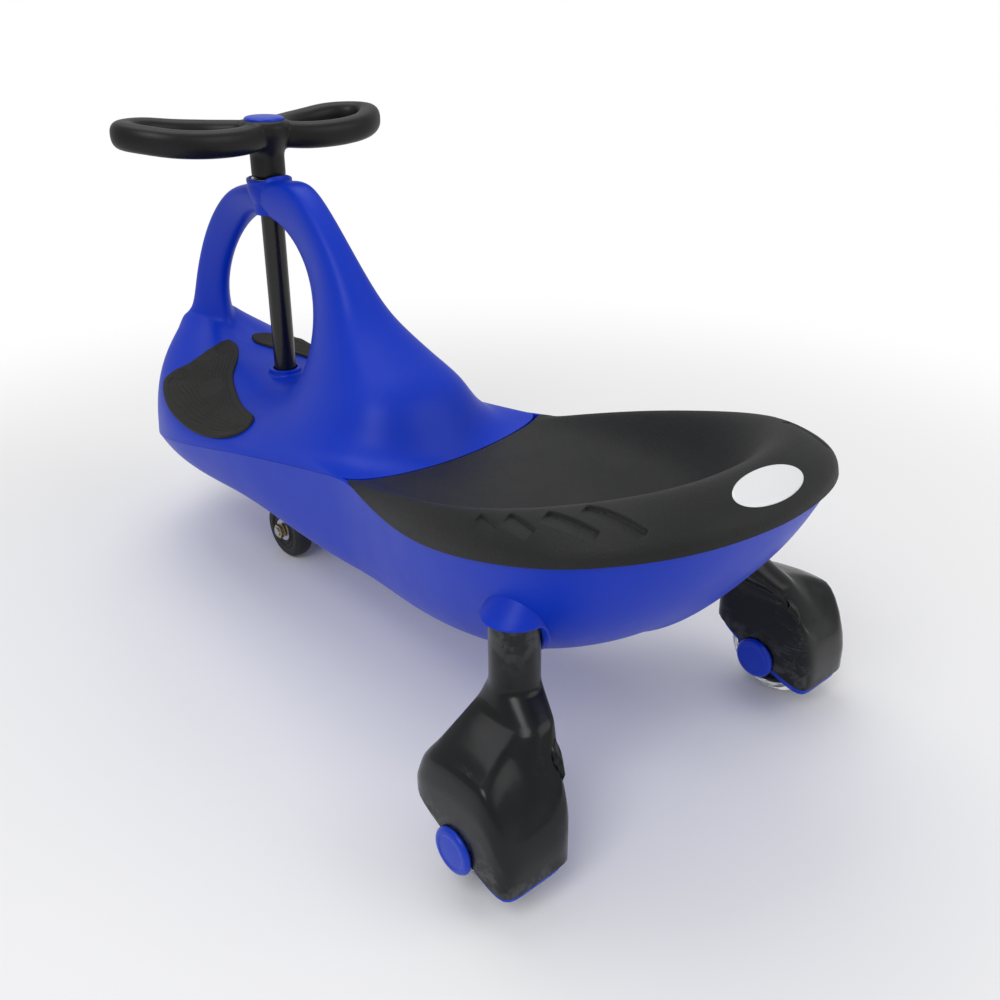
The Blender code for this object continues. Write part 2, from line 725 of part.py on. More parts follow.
def add_screw_posts(name, places, hull, target, wall, root):
    """Join a cover to the hull: a boss in the hull, a post under the cover and a screw at each place."""
    hull_tree = surface_tree(hull)
    target_tree = surface_tree(target)
    for index, (x, y) in enumerate(places, 1):
        round_about = [(x, y)]
        for step in range(8):
            angle = math.pi * step / 4
            aside = SCREW_BOSS_RADIUS * math.cos(angle), SCREW_BOSS_RADIUS * math.sin(angle)
            round_about.append((x + aside[0], y + aside[1]))
        outer = [height_below(hull_tree, at_x, at_y) for at_x, at_y in round_about]
        boss_low = min(outer) - 0.0006
        boss_high = max(outer) + 2 * HULL_WALL
        place = Matrix.Translation((x, y, 0.0))
        label = f"{name}_{index}"
        boss = turned(f"boss_{label}", disc_profile(SCREW_BOSS_RADIUS, boss_low, boss_high), POST_STEPS)
        boolean(hull, "UNION", f"boss_{label}", boss, root, place)
        hole_outline = disc_profile(SCREW_SHANK_RADIUS + FIT_GAP, boss_low - 0.01, boss_high + 0.01)
        hole = turned(f"hole_{label}", hole_outline, 10)
        boolean(hull, "DIFFERENCE", f"hole_{label}", hole, root, place)
        post_low = boss_high + FIT_GAP
        post = post_form(f"post_{label}", x, y, post_low, target_tree, wall * 0.5)
        boolean(target, "UNION", f"post_{label}", post, root)
        pilot_outline = disc_profile(SCREW_SHANK_RADIUS + FIT_GAP, post_low - 0.005, post_low + SCREW_LENGTH)
        pilot = turned(f"pilot_{label}", pilot_outline, 10)
        boolean(target, "DIFFERENCE", f"pilot_{label}", pilot, root, place)
        screw = screw_mesh(label, boss_low - FIT_GAP, post_low + SCREW_LENGTH - 0.0010)
        add_object(label, screw, (STEEL, 0.35, 1.0), root, place)


def screw_mesh(name, seat, tip):
    """Return a screw that points up, its head below a seat height and its shank up to a tip height."""
    outline = [
        (0.0, seat - SCREW_HEAD_HEIGHT),
        (SCREW_HEAD_RADIUS * 0.7, seat - SCREW_HEAD_HEIGHT),
        (SCREW_HEAD_RADIUS, seat - SCREW_HEAD_HEIGHT * 0.5),
        (SCREW_HEAD_RADIUS, seat),
        (SCREW_SHANK_RADIUS, seat),
        (SCREW_SHANK_RADIUS, tip),
        (0.0, tip),
    ]
    return turned(name, outline, 8)


def make_leg_screws(root):
    """Make the two screws that pass down through the sockets' roofs into the legs."""
    turn = Matrix.Rotation(math.pi, 4, "X")
    for side, sign in SIDES.items():
        label = f"leg_screw_{side}"
        place = Matrix.Translation((LEG_X, sign * LEG_SCREW_Y, SOCKET_TOP_Z + FIT_GAP)) @ turn
        add_object(label, screw_mesh(label, 0.0, LEG_SCREW_LENGTH), (STEEL, 0.35, 1.0), root, place)


def prism_mesh(name, outline, low, high):
    """Return an upright prism over an outline of (x, y) points."""
    bm = bmesh.new()
    corners = [bm.verts.new((x, y, low)) for x, y in outline]
    base = bm.faces.new(corners)
    pushed = bmesh.ops.extrude_face_region(bm, geom=[base])
    moved = [item for item in pushed["geom"] if isinstance(item, bmesh.types.BMVert)]
    bmesh.ops.translate(bm, verts=moved, vec=(0.0, 0.0, high - low))
    return mesh_from(bm, name)


def make_patch(name, mesh, outline, heights, gap, thickness, finish, root):
    """Make a thin solid that lies a gap above a smoothed surface, inside an outline seen from above."""
    patch = add_object(name, mesh, finish, root)
    mirror(patch)
    subdivide(patch, 1)
    thicken(patch, thickness).offset = 1.0 + 2 * gap / thickness
    boolean(patch, "INTERSECT", f"{name}_outline", prism_mesh(f"{name}_outline", outline, *heights), root)


# Outline of the left foot pad, seen from above, in millimetres
PAD_OUTLINE = [
    (81, 12), (70, 10), (49, 22), (29, 38), (11, 47), (-21, 58), (-55, 65.5), (-66, 74), (-64, 85),
    (-53, 93), (-33, 97), (5, 97.5), (49, 93), (79, 85), (92, 77), (87, 70), (76, 57), (77, 35), (81, 20),
]


def make_foot_pads(root):
    """Make the two rubber pads for the feet, which follow the deck's slope."""
    for side, sign in SIDES.items():
        name = f"foot_pad_{side}"
        outline = [metres((x, sign * y, 0), deck_widen()).xy for x, y in PAD_OUTLINE]
        mesh = grid_mesh(name, shell_rows(), wrap=True)
        heights = (KEEL_FRONT_Z, BELOW_ARCH_Z)
        make_patch(name, mesh, outline, heights, PAD_GAP, PAD_THICKNESS, ((0.02, 0.02, 0.02), 0.7), root)


def make_seat_badge(root):
    """Make the bare oval plate on the rim's rear slope."""
    centre = metres((BADGE_DRAWN_X, 0, 0))
    outline = []
    for step in range(20):
        angle = 2 * math.pi * step / 20
        reach = BADGE_WIDTH / 2 * math.cos(angle)
        outline.append((centre.x + reach, BADGE_LENGTH / 2 * math.sin(angle)))
    mesh = grid_mesh("seat_badge", seat_rows())
    heights = (NECK_TOP_Z, COLLAR_TOP_Z)
    make_patch("seat_badge", mesh, outline, heights, FIT_GAP, BADGE_THICKNESS, ((0.8, 0.8, 0.8), 0.3), root)


# Seat ribs, in millimetres: the rim's ridge, the foot of its inner wall and the pan's middle
SEAT_RIBS = [
    [(-242, 84, 174), (-243, 74, 171.5), (-247, 0, 166.5)],
    [(-280, 97, 187), (-280, 82, 175), (-281, 0, 168)],
    [(-332, 110, 205), (-322, 91, 176), (-308, 0, 169)],
    [(-380, 113, 219), (-364, 92, 176), (-338, 0, 169)],
    [(-418, 107, 230), (-398, 88, 178), (-364, 0, 169.5)],
    [(-450, 93, 240), (-426, 73, 182), (-384, 0, 170.5)],
    [(-473, 74, 246), (-447, 56, 187), (-399, 0, 172)],
    [(-487, 51, 249), (-460, 38, 191), (-409, 0, 173.5)],
    [(-494, 26, 250), (-467, 19, 193), (-415, 0, 174.5)],
    [(-496, 0, 250.5), (-469, 0, 194), (-418, 0, 175)],
]
SEAT_SHOULDER = 0.0100
SLOT_STEPS = 2


def seat_rows():
    """Return the rows of the seat's left half, from its edge to the pan's middle."""
    wide = seat_widen()
    rows = []
    for index, (place, rib) in enumerate(zip(SEAT_EDGE, SEAT_RIBS)):
        edge = metres(place, wide)
        ridge, foot, middle = (metres(point, wide) for point in rib)
        if index == 0:
            shift = Vector((-0.0012, 0.0, 0.0))
            row = [edge, edge.lerp(ridge, 0.3), edge.lerp(ridge, 0.7), ridge, foot]
            row += [metres(SEAT_FRONT[1], wide), middle]
            rows.append([point + shift for point in row])
            continue
        rise = min(1.0, index / 2.0)
        inward = (ridge - edge)
        inward.z = 0.0
        inward = inward.normalized()
        shoulder = edge + inward * 0.0015 + Vector((0.0, 0.0, SEAT_SHOULDER * rise))
        slope = shoulder.lerp(ridge, 0.42) + Vector((0.0, 0.0, 0.0035 * rise))
        pan = foot.lerp(middle, 0.45)
        pan.z = middle.z + (foot.z - middle.z) * 0.30
        rows.append([edge, shoulder, slope, ridge, foot, pan, middle])
    return rows


def make_seat(root):
    """Make the seat panel: a scooped pan inside a wide raised rim with four slots on each side."""
    mesh = grid_mesh("seat_panel", seat_rows())
    seat = add_object("seat_panel", mesh, (GREY, 0.62), root)
    mirror(seat)
    subdivide(seat, 1)
    thicken(seat, SEAT_WALL)
    edge = [metres(point, deck_widen()) for point in DECK_EDGE]
    edge += [metres(point, seat_widen()) for point in SEAT_EDGE[1:]]
    band = parting_band("seat_rim_band", edge, -BAND_HEIGHT, RIM_TRIM)
    boolean(seat, "DIFFERENCE", "seat_rim_band", band, root)
    cut_slots(seat, root)
    return seat


# Slots in the left half of the rim, each from its inner end to its outer one, in millimetres
RIM_SLOTS = [
    ((-415, 121), (-433, 124)),
    ((-435, 116), (-458, 119)),
    ((-457, 107), (-491, 103)),
    ((-473, 93), (-510, 86)),
]
SLOT_WIDTH = 0.0080
SLOT_DEPTH = 0.0014


def slot_form(name, start, end, tree):
    """Return the hollow of one slot, whose floor lies at an even depth below the rim."""
    bm = bmesh.new()
    along = Vector((end[0] - start[0], end[1] - start[1], 0.0))
    length = along.length
    along.normalize()
    aside = Vector((-along.y, along.x, 0.0)) * (SLOT_WIDTH / 2)
    origin = Vector((start[0], start[1], 0.0))
    rows = []
    for step in range(SLOT_STEPS + 1):
        share = step / SLOT_STEPS
        reach = 1.0 if 0 < step < SLOT_STEPS else 0.55
        place = origin + along * (length * share)
        row = []
        for offset in (-reach, 0.0, reach):
            point = place + aside * offset
            height = height_above(tree, point.x, point.y)
            row.append((point.x, point.y, height))
        rows.append(row)
    low = [[bm.verts.new((x, y, z - SLOT_DEPTH)) for x, y, z in row] for row in rows]
    high = [[bm.verts.new((x, y, z + 0.010)) for x, y, z in row] for row in rows]
    for layer in (low, high):
        for here, there in zip(layer, layer[1:]):
            for j in range(2):
                bm.faces.new((here[j], here[j + 1], there[j + 1], there[j]))
    for i in range(SLOT_STEPS):
        for j in (0, 2):
            bm.faces.new((low[i][j], low[i + 1][j], high[i + 1][j], high[i][j]))
    for i in (0, SLOT_STEPS):
        for j in range(2):
            bm.faces.new((low[i][j], low[i][j + 1], high[i][j + 1], high[i][j]))
    return mesh_from(bm, name)


def cut_slots(seat, root):
    """Cut the four slots into each side of the rim."""
    tree = surface_tree(seat)
    for side, sign in SIDES.items():
        for index, (start, end) in enumerate(RIM_SLOTS):
            ends = [metres((x, sign * y, 0), seat_widen()).xy for x, y in (start, end)]
            form = slot_form(f"slot_{side}_{index}", *ends, tree)
            boolean(seat, "DIFFERENCE", f"slot_{side}_{index}", form, root)


def hood_loop(z, front, back, inner, outer, corner):
    """Return a closed rounded loop of the leg's outline at a height."""
    points = []
    middle_x = (front + back) / 2
    middle_y = (inner + outer) / 2
    half_x = (front - back) / 2
    half_y = (outer - inner) / 2
    for step in range(HOOD_STEPS):
        angle = 2 * math.pi * step / HOOD_STEPS
        cos = math.cos(angle)
        sin = math.sin(angle)
        reach = (abs(cos) ** corner + abs(sin) ** corner) ** (-1 / corner)
        points.append(Vector((middle_x + half_x * reach * cos, middle_y + half_y * reach * sin, z)))
    return points


def roof_height(height, rear_height, rear_share, outer_share):
    """Return how high an upper outline is: arched along its outer edge and low at the rear."""
    arch = HOOD_ARCH * (1 - ((rear_share - HOOD_ARCH_TOP) / 0.5) ** 2)
    level = height + outer_share * (arch - HOOD_TILT)
    fall = min(1.0, max(0.0, (rear_share - HOOD_FALL_START) / (1 - HOOD_FALL_START))) ** 2
    fall *= HOOD_INNER_FALL + (1 - HOOD_INNER_FALL) * outer_share
    return level + (rear_height - level) * fall


def hood_loops(inset, drop=0.0, roof_gap=0.0):
    """Return a hood's stacked outlines, shrunk by an inset, with a lower rim and a gap below its roof."""
    inner = REAR_WHEEL_Y - HOOD_HALF_WIDTH + inset
    outer = REAR_WHEEL_Y + HOOD_HALF_WIDTH - inset
    front = REAR_AXLE_X + HOOD_FRONT - inset
    back = REAR_AXLE_X - HOOD_BACK + inset
    loops = [
        hood_loop(0.0, front, back, inner, outer, 7),
        hood_loop(0.0760 - inset, front, back, inner, outer, 7),
        hood_loop(0.0870 - inset, front - 0.0030, back + 0.0010, inner, outer - 0.0020, 6),
        hood_loop(0.0945 - inset, front - 0.0090, back + 0.0040, inner + 0.0010, outer - 0.0070, 5),
    ]
    for point in loops[0]:
        share = (point.x - back) / (front - back)
        rise = (HOOD_BOTTOM_FRONT - HOOD_BOTTOM_BACK) * max(0.0, share) ** HOOD_BOTTOM_CURVE
        point.z = HOOD_BOTTOM_BACK + rise - drop
    for loop, rear_height in zip(loops[1:], HOOD_REAR_HEIGHTS):
        for point in loop:
            rear_share = (front - point.x) / (front - back)
            outer_share = (point.y - inner) / (outer - inner)
            low = rear_height - HOOD_STEEP_INSET * inset
            point.z = roof_height(point.z, low, rear_share, outer_share) - roof_gap
    return loops


def loft_mesh(name, loops):
    """Skin a stack of closed loops and cap its two ends."""
    bm = bmesh.new()
    rings = [[bm.verts.new(point) for point in loop] for loop in loops]
    count = len(loops[0])
    for low, high in zip(rings, rings[1:]):
        for j in range(count):
            after = (j + 1) % count
            bm.faces.new((low[j], low[after], high[after], high[j]))
    for ring in (rings[0], rings[-1]):
        middle = bm.verts.new(sum((vert.co for vert in ring), Vector()) / count)
        for j in range(count):
            bm.faces.new((ring[j], ring[(j + 1) % count], middle))
    return mesh_from(bm, name)


def flipped(points, sign):
    """Return loops on the car's left or right side."""
    return [[Vector((p.x, p.y * sign, p.z)) for p in loop] for loop in points]


def make_leg(root, side, sign):
    """Make one leg: a neck that widens into the hood over the wheel."""
    inner = LEG_Y - NECK_RADIUS
    outer = LEG_Y + NECK_RADIUS
    front = LEG_X + NECK_RADIUS
    back = LEG_X - NECK_RADIUS
    flare = hood_loop(0.1060, front + 0.0020, back - 0.0190, inner + 0.0090, outer + 0.0050, 3.0)
    neck = [hood_loop(z, front, back, inner, outer, 2) for z in (NECK_BASE_Z, NECK_TOP_Z)]
    mesh = loft_mesh(f"leg_{side}", flipped([*hood_loops(0.0), flare, *neck], sign))
    leg = add_object(f"leg_{side}", mesh, (BLACK, 0.22), root)
    hollow = hood_loops(HOOD_WALL)
    hollow.insert(0, [Vector((p.x, p.y, 0.0)) for p in hollow[0]])
    cavity = loft_mesh(f"leg_hollow_{side}", flipped(hollow, sign))
    boolean(leg, "DIFFERENCE", f"leg_hollow_{side}", cavity, root)
    pilot = turned(f"leg_pilot_{side}", disc_profile(SCREW_SHANK_RADIUS + FIT_GAP, 0.1400, 0.1700), 12)
    place = Matrix.Translation((LEG_X, sign * LEG_SCREW_Y, 0.0))
    boolean(leg, "DIFFERENCE", f"leg_pilot_{side}", pilot, root, place)
    hole_outline = disc_profile(AXLE_RADIUS + FIT_GAP, -HOOD_HALF_WIDTH * 1.5, HOOD_HALF_WIDTH * 1.5)
    hole = turned(f"leg_axle_hole_{side}", hole_outline, 16)
    place = across(REAR_AXLE_X, sign * REAR_WHEEL_Y, REAR_WHEEL_RADIUS)
    boolean(leg, "DIFFERENCE", f"leg_axle_hole_{side}", hole, root, place)
    return leg


def make_fork(root, side, sign):
    """Make the blue fork that lines a hood and holds the axle at both ends."""
    inset = HOOD_WALL + FIT_GAP
    mesh = loft_mesh(f"fork_{side}", flipped(hood_loops(inset, FORK_DROP, FORK_ROOF_GAP), sign))
    fork = add_object(f"fork_{side}", mesh, (BLUE, 0.40), root)
    inner = REAR_WHEEL_Y - HOOD_HALF_WIDTH + inset
    outer = REAR_WHEEL_Y + HOOD_HALF_WIDTH - inset
    middle = sign * (inner + outer) / 2
    half = (outer - inner) / 2
    lugs = turned(f"fork_lugs_{side}", disc_profile(FORK_LUG_RADIUS, -half, half), 20)
    place = across(REAR_AXLE_X, middle, REAR_WHEEL_RADIUS)
    boolean(fork, "UNION", f"fork_lugs_{side}", lugs, root, place)
    room = half - FORK_WALL
    wheel_room = turned(
        f"wheel_room_{side}", disc_profile(REAR_WHEEL_RADIUS + WHEEL_ROOM, -room, room), 28
    )
    boolean(fork, "DIFFERENCE", f"wheel_room_{side}", wheel_room, root, place)
    reach = REAR_WHEEL_RADIUS + WHEEL_ROOM
    low = (REAR_AXLE_X - reach, middle - room, -REAR_WHEEL_RADIUS)
    high = (REAR_AXLE_X + reach, middle + room, REAR_WHEEL_RADIUS)
    open_mesh = box_mesh(f"fork_mouth_{side}", low, high)
    boolean(fork, "DIFFERENCE", f"fork_mouth_{side}", open_mesh, root)
    hole_outline = disc_profile(AXLE_RADIUS + FIT_GAP, -half - CUT_BEYOND, half + CUT_BEYOND)
    hole = turned(f"fork_hole_{side}", hole_outline, 20)
    boolean(fork, "DIFFERENCE", f"fork_hole_{side}", hole, root, place)
    return fork


def make_rear_wheel(root, side, sign):
    """Make one rear wheel with its core, bearings, axle and axle caps."""
    hub = bpy.data.objects.new(f"rear_wheel_{side}_axis", None)
    bpy.context.scene.collection.objects.link(hub)
    hub.parent = root
    hub.matrix_local = across(REAR_AXLE_X, sign * REAR_WHEEL_Y, REAR_WHEEL_RADIUS)
    half = REAR_WHEEL_WIDTH / 2
    tyre = [
        (REAR_CORE_RADIUS + FIT_GAP, -half),
        (REAR_WHEEL_RADIUS - 0.0050, -half),
        (REAR_WHEEL_RADIUS - 0.0012, -half + 0.0035),
        (REAR_WHEEL_RADIUS, -half + 0.0090),
        (REAR_WHEEL_RADIUS, half - 0.0090),
        (REAR_WHEEL_RADIUS - 0.0012, half - 0.0035),
        (REAR_WHEEL_RADIUS - 0.0050, half),
        (REAR_CORE_RADIUS + FIT_GAP, half),
    ]
    add_object(
        f"rear_tyre_{side}", turned(f"rear_tyre_{side}", tyre, 28), ((0.75, 0.78, 0.80), 0.15), hub
    )
    seat_depth = BEARING_WIDTH + FIT_GAP
    core = [
        (BEARING_RADIUS + FIT_GAP, half),
        (BEARING_RADIUS + FIT_GAP, half - seat_depth),
        (AXLE_RADIUS + 0.0025, half - seat_depth),
        (AXLE_RADIUS + 0.0025, -half + seat_depth),
        (BEARING_RADIUS + FIT_GAP, -half + seat_depth),
        (BEARING_RADIUS + FIT_GAP, -half),
        (REAR_CORE_RADIUS, -half),
        (REAR_CORE_RADIUS, half),
    ]
    add_object(f"rear_core_{side}", turned(f"rear_core_{side}", core, 20), (BLACK, 0.45), hub)
    for place, low in (("outer", half - BEARING_WIDTH), ("inner", -half)):
        low = low if sign > 0 else -low - BEARING_WIDTH
        ring = tube_profile(AXLE_RADIUS + AXLE_FIT, BEARING_RADIUS, low, low + BEARING_WIDTH)
        label = f"rear_bearing_{side}_{place}"
        add_object(label, turned(label, ring, 12), (STEEL, 0.25, 1.0), hub)

    fixed = bpy.data.objects.new(f"rear_axle_{side}_line", None)
    bpy.context.scene.collection.objects.link(fixed)
    fixed.parent = root
    fixed.matrix_local = across(REAR_AXLE_X, sign * REAR_WHEEL_Y, REAR_WHEEL_RADIUS)
    reach = HOOD_HALF_WIDTH
    axle = disc_profile(AXLE_RADIUS, -reach, reach)
    add_object(f"rear_axle_{side}", turned(f"rear_axle_{side}", axle, 16), (STEEL, 0.25, 1.0), fixed)
    for place, end in (("outer", sign), ("inner", -sign)):
        outline = [
            (0.0, reach + FIT_GAP),
            (AXLE_CAP_RADIUS, reach + FIT_GAP),
            (AXLE_CAP_RADIUS, reach + AXLE_CAP_HEIGHT * 0.5),
            (AXLE_CAP_RADIUS - 0.0025, reach + AXLE_CAP_HEIGHT * 0.9),
            (0.0, reach + AXLE_CAP_HEIGHT),
        ]
        label = f"axle_cap_{side}_{place}"
        cap = turned(label, outline, 20)
        if end < 0:
            cap.transform(Matrix.Rotation(math.pi, 4, "X"))
        add_object(label, cap, (BLUE, 0.40), fixed)


def make_column(column):
    """Make the steering tube with its bushes and washers."""
    top = along_column(TUBE_TOP_Z)
    profile = tube_profile(TUBE_RADIUS - TUBE_WALL, TUBE_RADIUS, tube_bottom(), top)
    add_object("steering_tube", turned("steering_tube", profile, 24), (BLACK, 0.30), column)

    inner = TUBE_RADIUS + RUNNING_GAP
    outer = TUBE_RADIUS + BUSH_WALL
    face = along_column(COLLAR_TOP_Z) - COLLAR_RECESS + RUNNING_GAP
    bush = [
        (inner, face - BUSH_LENGTH),
        (outer, face - BUSH_LENGTH),
        (outer, face),
        (BUSH_FLANGE_RADIUS, face),
        (BUSH_FLANGE_RADIUS, face + BUSH_FLANGE_HEIGHT),
        (inner, face + BUSH_FLANGE_HEIGHT),
    ]
    add_object("upper_bush", turned("upper_bush", bush, 16), ((0.7, 0.7, 0.68), 0.4), column)
    washer_low = face + BUSH_FLANGE_HEIGHT + RUNNING_GAP
    washer = tube_profile(inner, WASHER_RADIUS, washer_low, washer_low + WASHER_HEIGHT)
    add_object("collar_washer", turned("collar_washer", washer, 20), (STEEL, 0.2, 1.0), column)

    floor = along_column(HULL_BOSS_BOTTOM_Z) - RUNNING_GAP
    bush = [
        (inner, floor - BUSH_FLANGE_HEIGHT),
        (BUSH_FLANGE_RADIUS, floor - BUSH_FLANGE_HEIGHT),
        (BUSH_FLANGE_RADIUS, floor),
        (outer, floor),
        (outer, floor + BUSH_LENGTH),
        (inner, floor + BUSH_LENGTH),
    ]
    add_object("lower_bush", turned("lower_bush", bush, 16), ((0.7, 0.7, 0.68), 0.4), column)


def sweep_loop(name, centres, radius_across, radius_up, sides=8):
    """Sweep an oval section along a closed run of points."""
    bm = bmesh.new()
    rings = []
    count = len(centres)
    for i, centre in enumerate(centres):
        ahead = centres[(i + 1) % count] - centres[i - 1]
        ahead.normalize()
        across_axis = ahead.cross(Vector((0.0, 0.0, 1.0))).normalized()
        up_axis = across_axis.cross(ahead).normalized()
        ring = []
        for j in range(sides):
            angle = 2 * math.pi * j / sides
            offset = across_axis * (radius_across * math.cos(angle)) + up_axis * (radius_up * math.sin(angle))
            ring.append(bm.verts.new(centre + offset))
        rings.append(ring)
    for i in range(count):
        low = rings[i]
        high = rings[(i + 1) % count]
        for j in range(sides):
            after = (j + 1) % sides
            bm.faces.new((low[j], low[after], high[after], high[j]))
    return mesh_from(bm, name)


# One handlebar loop, seen from above, in millimetres from the column: forward, outward, height
GRIP_LOOP = [
    (-6, 12, 384),
    (-16, 34, 382.5),
    (-19, 62, 383),
    (-14, 88, 385),
    (0, 107, 388),
    (17, 115, 389.5),
    (32, 107, 389.5),
    (40, 88, 388.5),
    (39, 62, 385.5),
    (30, 36, 384),
    (12, 14, 384),
]


def grip_centres(sign):
    """Return the middle line of one handlebar loop."""
    reach = (GRIP_REACH - GRIP_RADIUS) / (115 * MM)
    points = [Vector((x * MM, y * MM * reach * sign, z * MM)) for x, y, z in GRIP_LOOP]
    smooth = []
    count = len(points)
    for i in range(count):
        a, b, c, d = points[i - 1], points[i], points[(i + 1) % count], points[(i + 2) % count]
        for t in (0.0, 0.5):
            bend = (2 * a - 5 * b + 4 * c - d) * t ** 2 + (3 * b - a - 3 * c + d) * t ** 3
            smooth.append(0.5 * (2 * b + (c - a) * t + bend))
    return smooth if sign > 0 else list(reversed(smooth))


def make_handlebar(column):
    """Make the handlebar: two looped grips, a hub and a sleeve over the tube."""
    hub = turned(
        "handlebar",
        [
            (0.0, along_column(HUB_TOP_Z)),
            (CAP_RADIUS + 0.0020, along_column(HUB_TOP_Z)),
            (HUB_RADIUS, along_column(HUB_TOP_Z) - HUB_SHOULDER),
            (HUB_RADIUS, along_column(HUB_TOP_Z) - HUB_WAIST_DROP),
            (SLEEVE_RADIUS, along_column(HUB_TOP_Z - SLEEVE_START_DROP)),
            (SLEEVE_RADIUS, along_column(SLEEVE_BOTTOM_Z)),
            (0.0, along_column(SLEEVE_BOTTOM_Z)),
        ],
        28,
    )
    bar = add_object("handlebar", hub, (GREY, 0.55), column)
    for side, sign in SIDES.items():
        loop = sweep_loop(f"grip_form_{side}", grip_centres(sign), GRIP_RADIUS, GRIP_RADIUS)
        lower = Matrix.Translation((0.0, 0.0, HUB_TOP_Z - DRAWN_HUB_TOP_Z - COLUMN_FOOT_Z))
        boolean(bar, "UNION", f"grip_form_{side}", loop, column, lower)
    top = along_column(HUB_TOP_Z)
    recess = turned(
        "cap_recess", disc_profile(CAP_RADIUS + FIT_GAP, top - CAP_RECESS, top + CUT_BEYOND), 28
    )
    bore = turned(
        "handlebar_bore",
        disc_profile(
            TUBE_RADIUS + FIT_GAP,
            along_column(SLEEVE_BOTTOM_Z) - CUT_BEYOND,
            along_column(TUBE_TOP_Z) + FIT_GAP,
        ),
        28,
    )
    boolean(bar, "DIFFERENCE", "cap_recess", recess, column)
    bolt_outline = disc_profile(BOLT_RADIUS + FIT_GAP, top - BOLT_LENGTH - CUT_BEYOND, top + CUT_BEYOND)
    bolt_hole = turned("handlebar_bolt_hole", bolt_outline, 16)
    boolean(bar, "DIFFERENCE", "handlebar_bore", bore, column)
    boolean(bar, "DIFFERENCE", "handlebar_bolt_hole", bolt_hole, column)
    cap = [
        (0.0, top - 0.0020),
        (CAP_RADIUS, top - 0.0020),
        (CAP_RADIUS, top + CAP_HEIGHT * 0.5),
        (CAP_RADIUS - 0.0015, top + CAP_HEIGHT),
        (0.0, top + CAP_HEIGHT),
    ]
    add_object("centre_cap", turned("centre_cap", cap, 24), (BLUE, 0.40), column)
    return bar


def hexagon_profile_mesh(name, radius, bottom, top, hole):
    """Return a hexagonal nut with a round hole."""
    bm = bmesh.new()
    rings = []
    for z in (bottom, top):
        outer = []
        inner = []
        for step in range(12):
            angle = math.pi * step / 6
            reach = radius if step % 2 == 0 else radius * math.cos(math.pi / 6)
            outer.append(bm.verts.new((reach * math.cos(angle), reach * math.sin(angle), z)))
            inner.append(bm.verts.new((hole * math.cos(angle), hole * math.sin(angle), z)))
        rings.append((outer, inner))
    (low_out, low_in), (high_out, high_in) = rings
    for j in range(12):
        after = (j + 1) % 12
        bm.faces.new((low_out[j], low_out[after], high_out[after], high_out[j]))
        bm.faces.new((low_in[after], low_in[j], high_in[j], high_in[after]))
        bm.faces.new((high_out[j], high_out[after], high_in[after], high_in[j]))
        bm.faces.new((low_out[after], low_out[j], low_in[j], low_in[after]))
    return mesh_from(bm, name)


def make_handlebar_bolt(column):
    """Make the bolt that holds the handlebar down, and the threaded plug in the tube's top."""
    floor = along_column(HUB_TOP_Z) - CAP_RECESS + FIT_GAP
    bolt = [
        (0.0, floor - BOLT_LENGTH),
        (BOLT_RADIUS, floor - BOLT_LENGTH),
        (BOLT_RADIUS, floor),
        (NUT_RADIUS, floor),
        (NUT_RADIUS, floor + NUT_HEIGHT),
        (0.0, floor + NUT_HEIGHT),
    ]
    add_object("handlebar_bolt", turned("handlebar_bolt", bolt, 10), (STEEL, 0.3, 1.0), column)
    plug_top = along_column(TUBE_TOP_Z) - 0.001
    plug = tube_profile(BOLT_RADIUS + FIT_GAP, TUBE_RADIUS - TUBE_WALL - FIT_GAP, plug_top - 0.012, plug_top)
    add_object("tube_plug", turned("tube_plug", plug, 12), (STEEL, 0.4, 1.0), column)


def truck_heights():
    """Return the thrust washer's and the truck's top heights along the column."""
    bush_face = along_column(HULL_BOSS_BOTTOM_Z) - RUNNING_GAP - BUSH_FLANGE_HEIGHT
    washer_top = bush_face - RUNNING_GAP
    return washer_top, washer_top - WASHER_HEIGHT - RUNNING_GAP


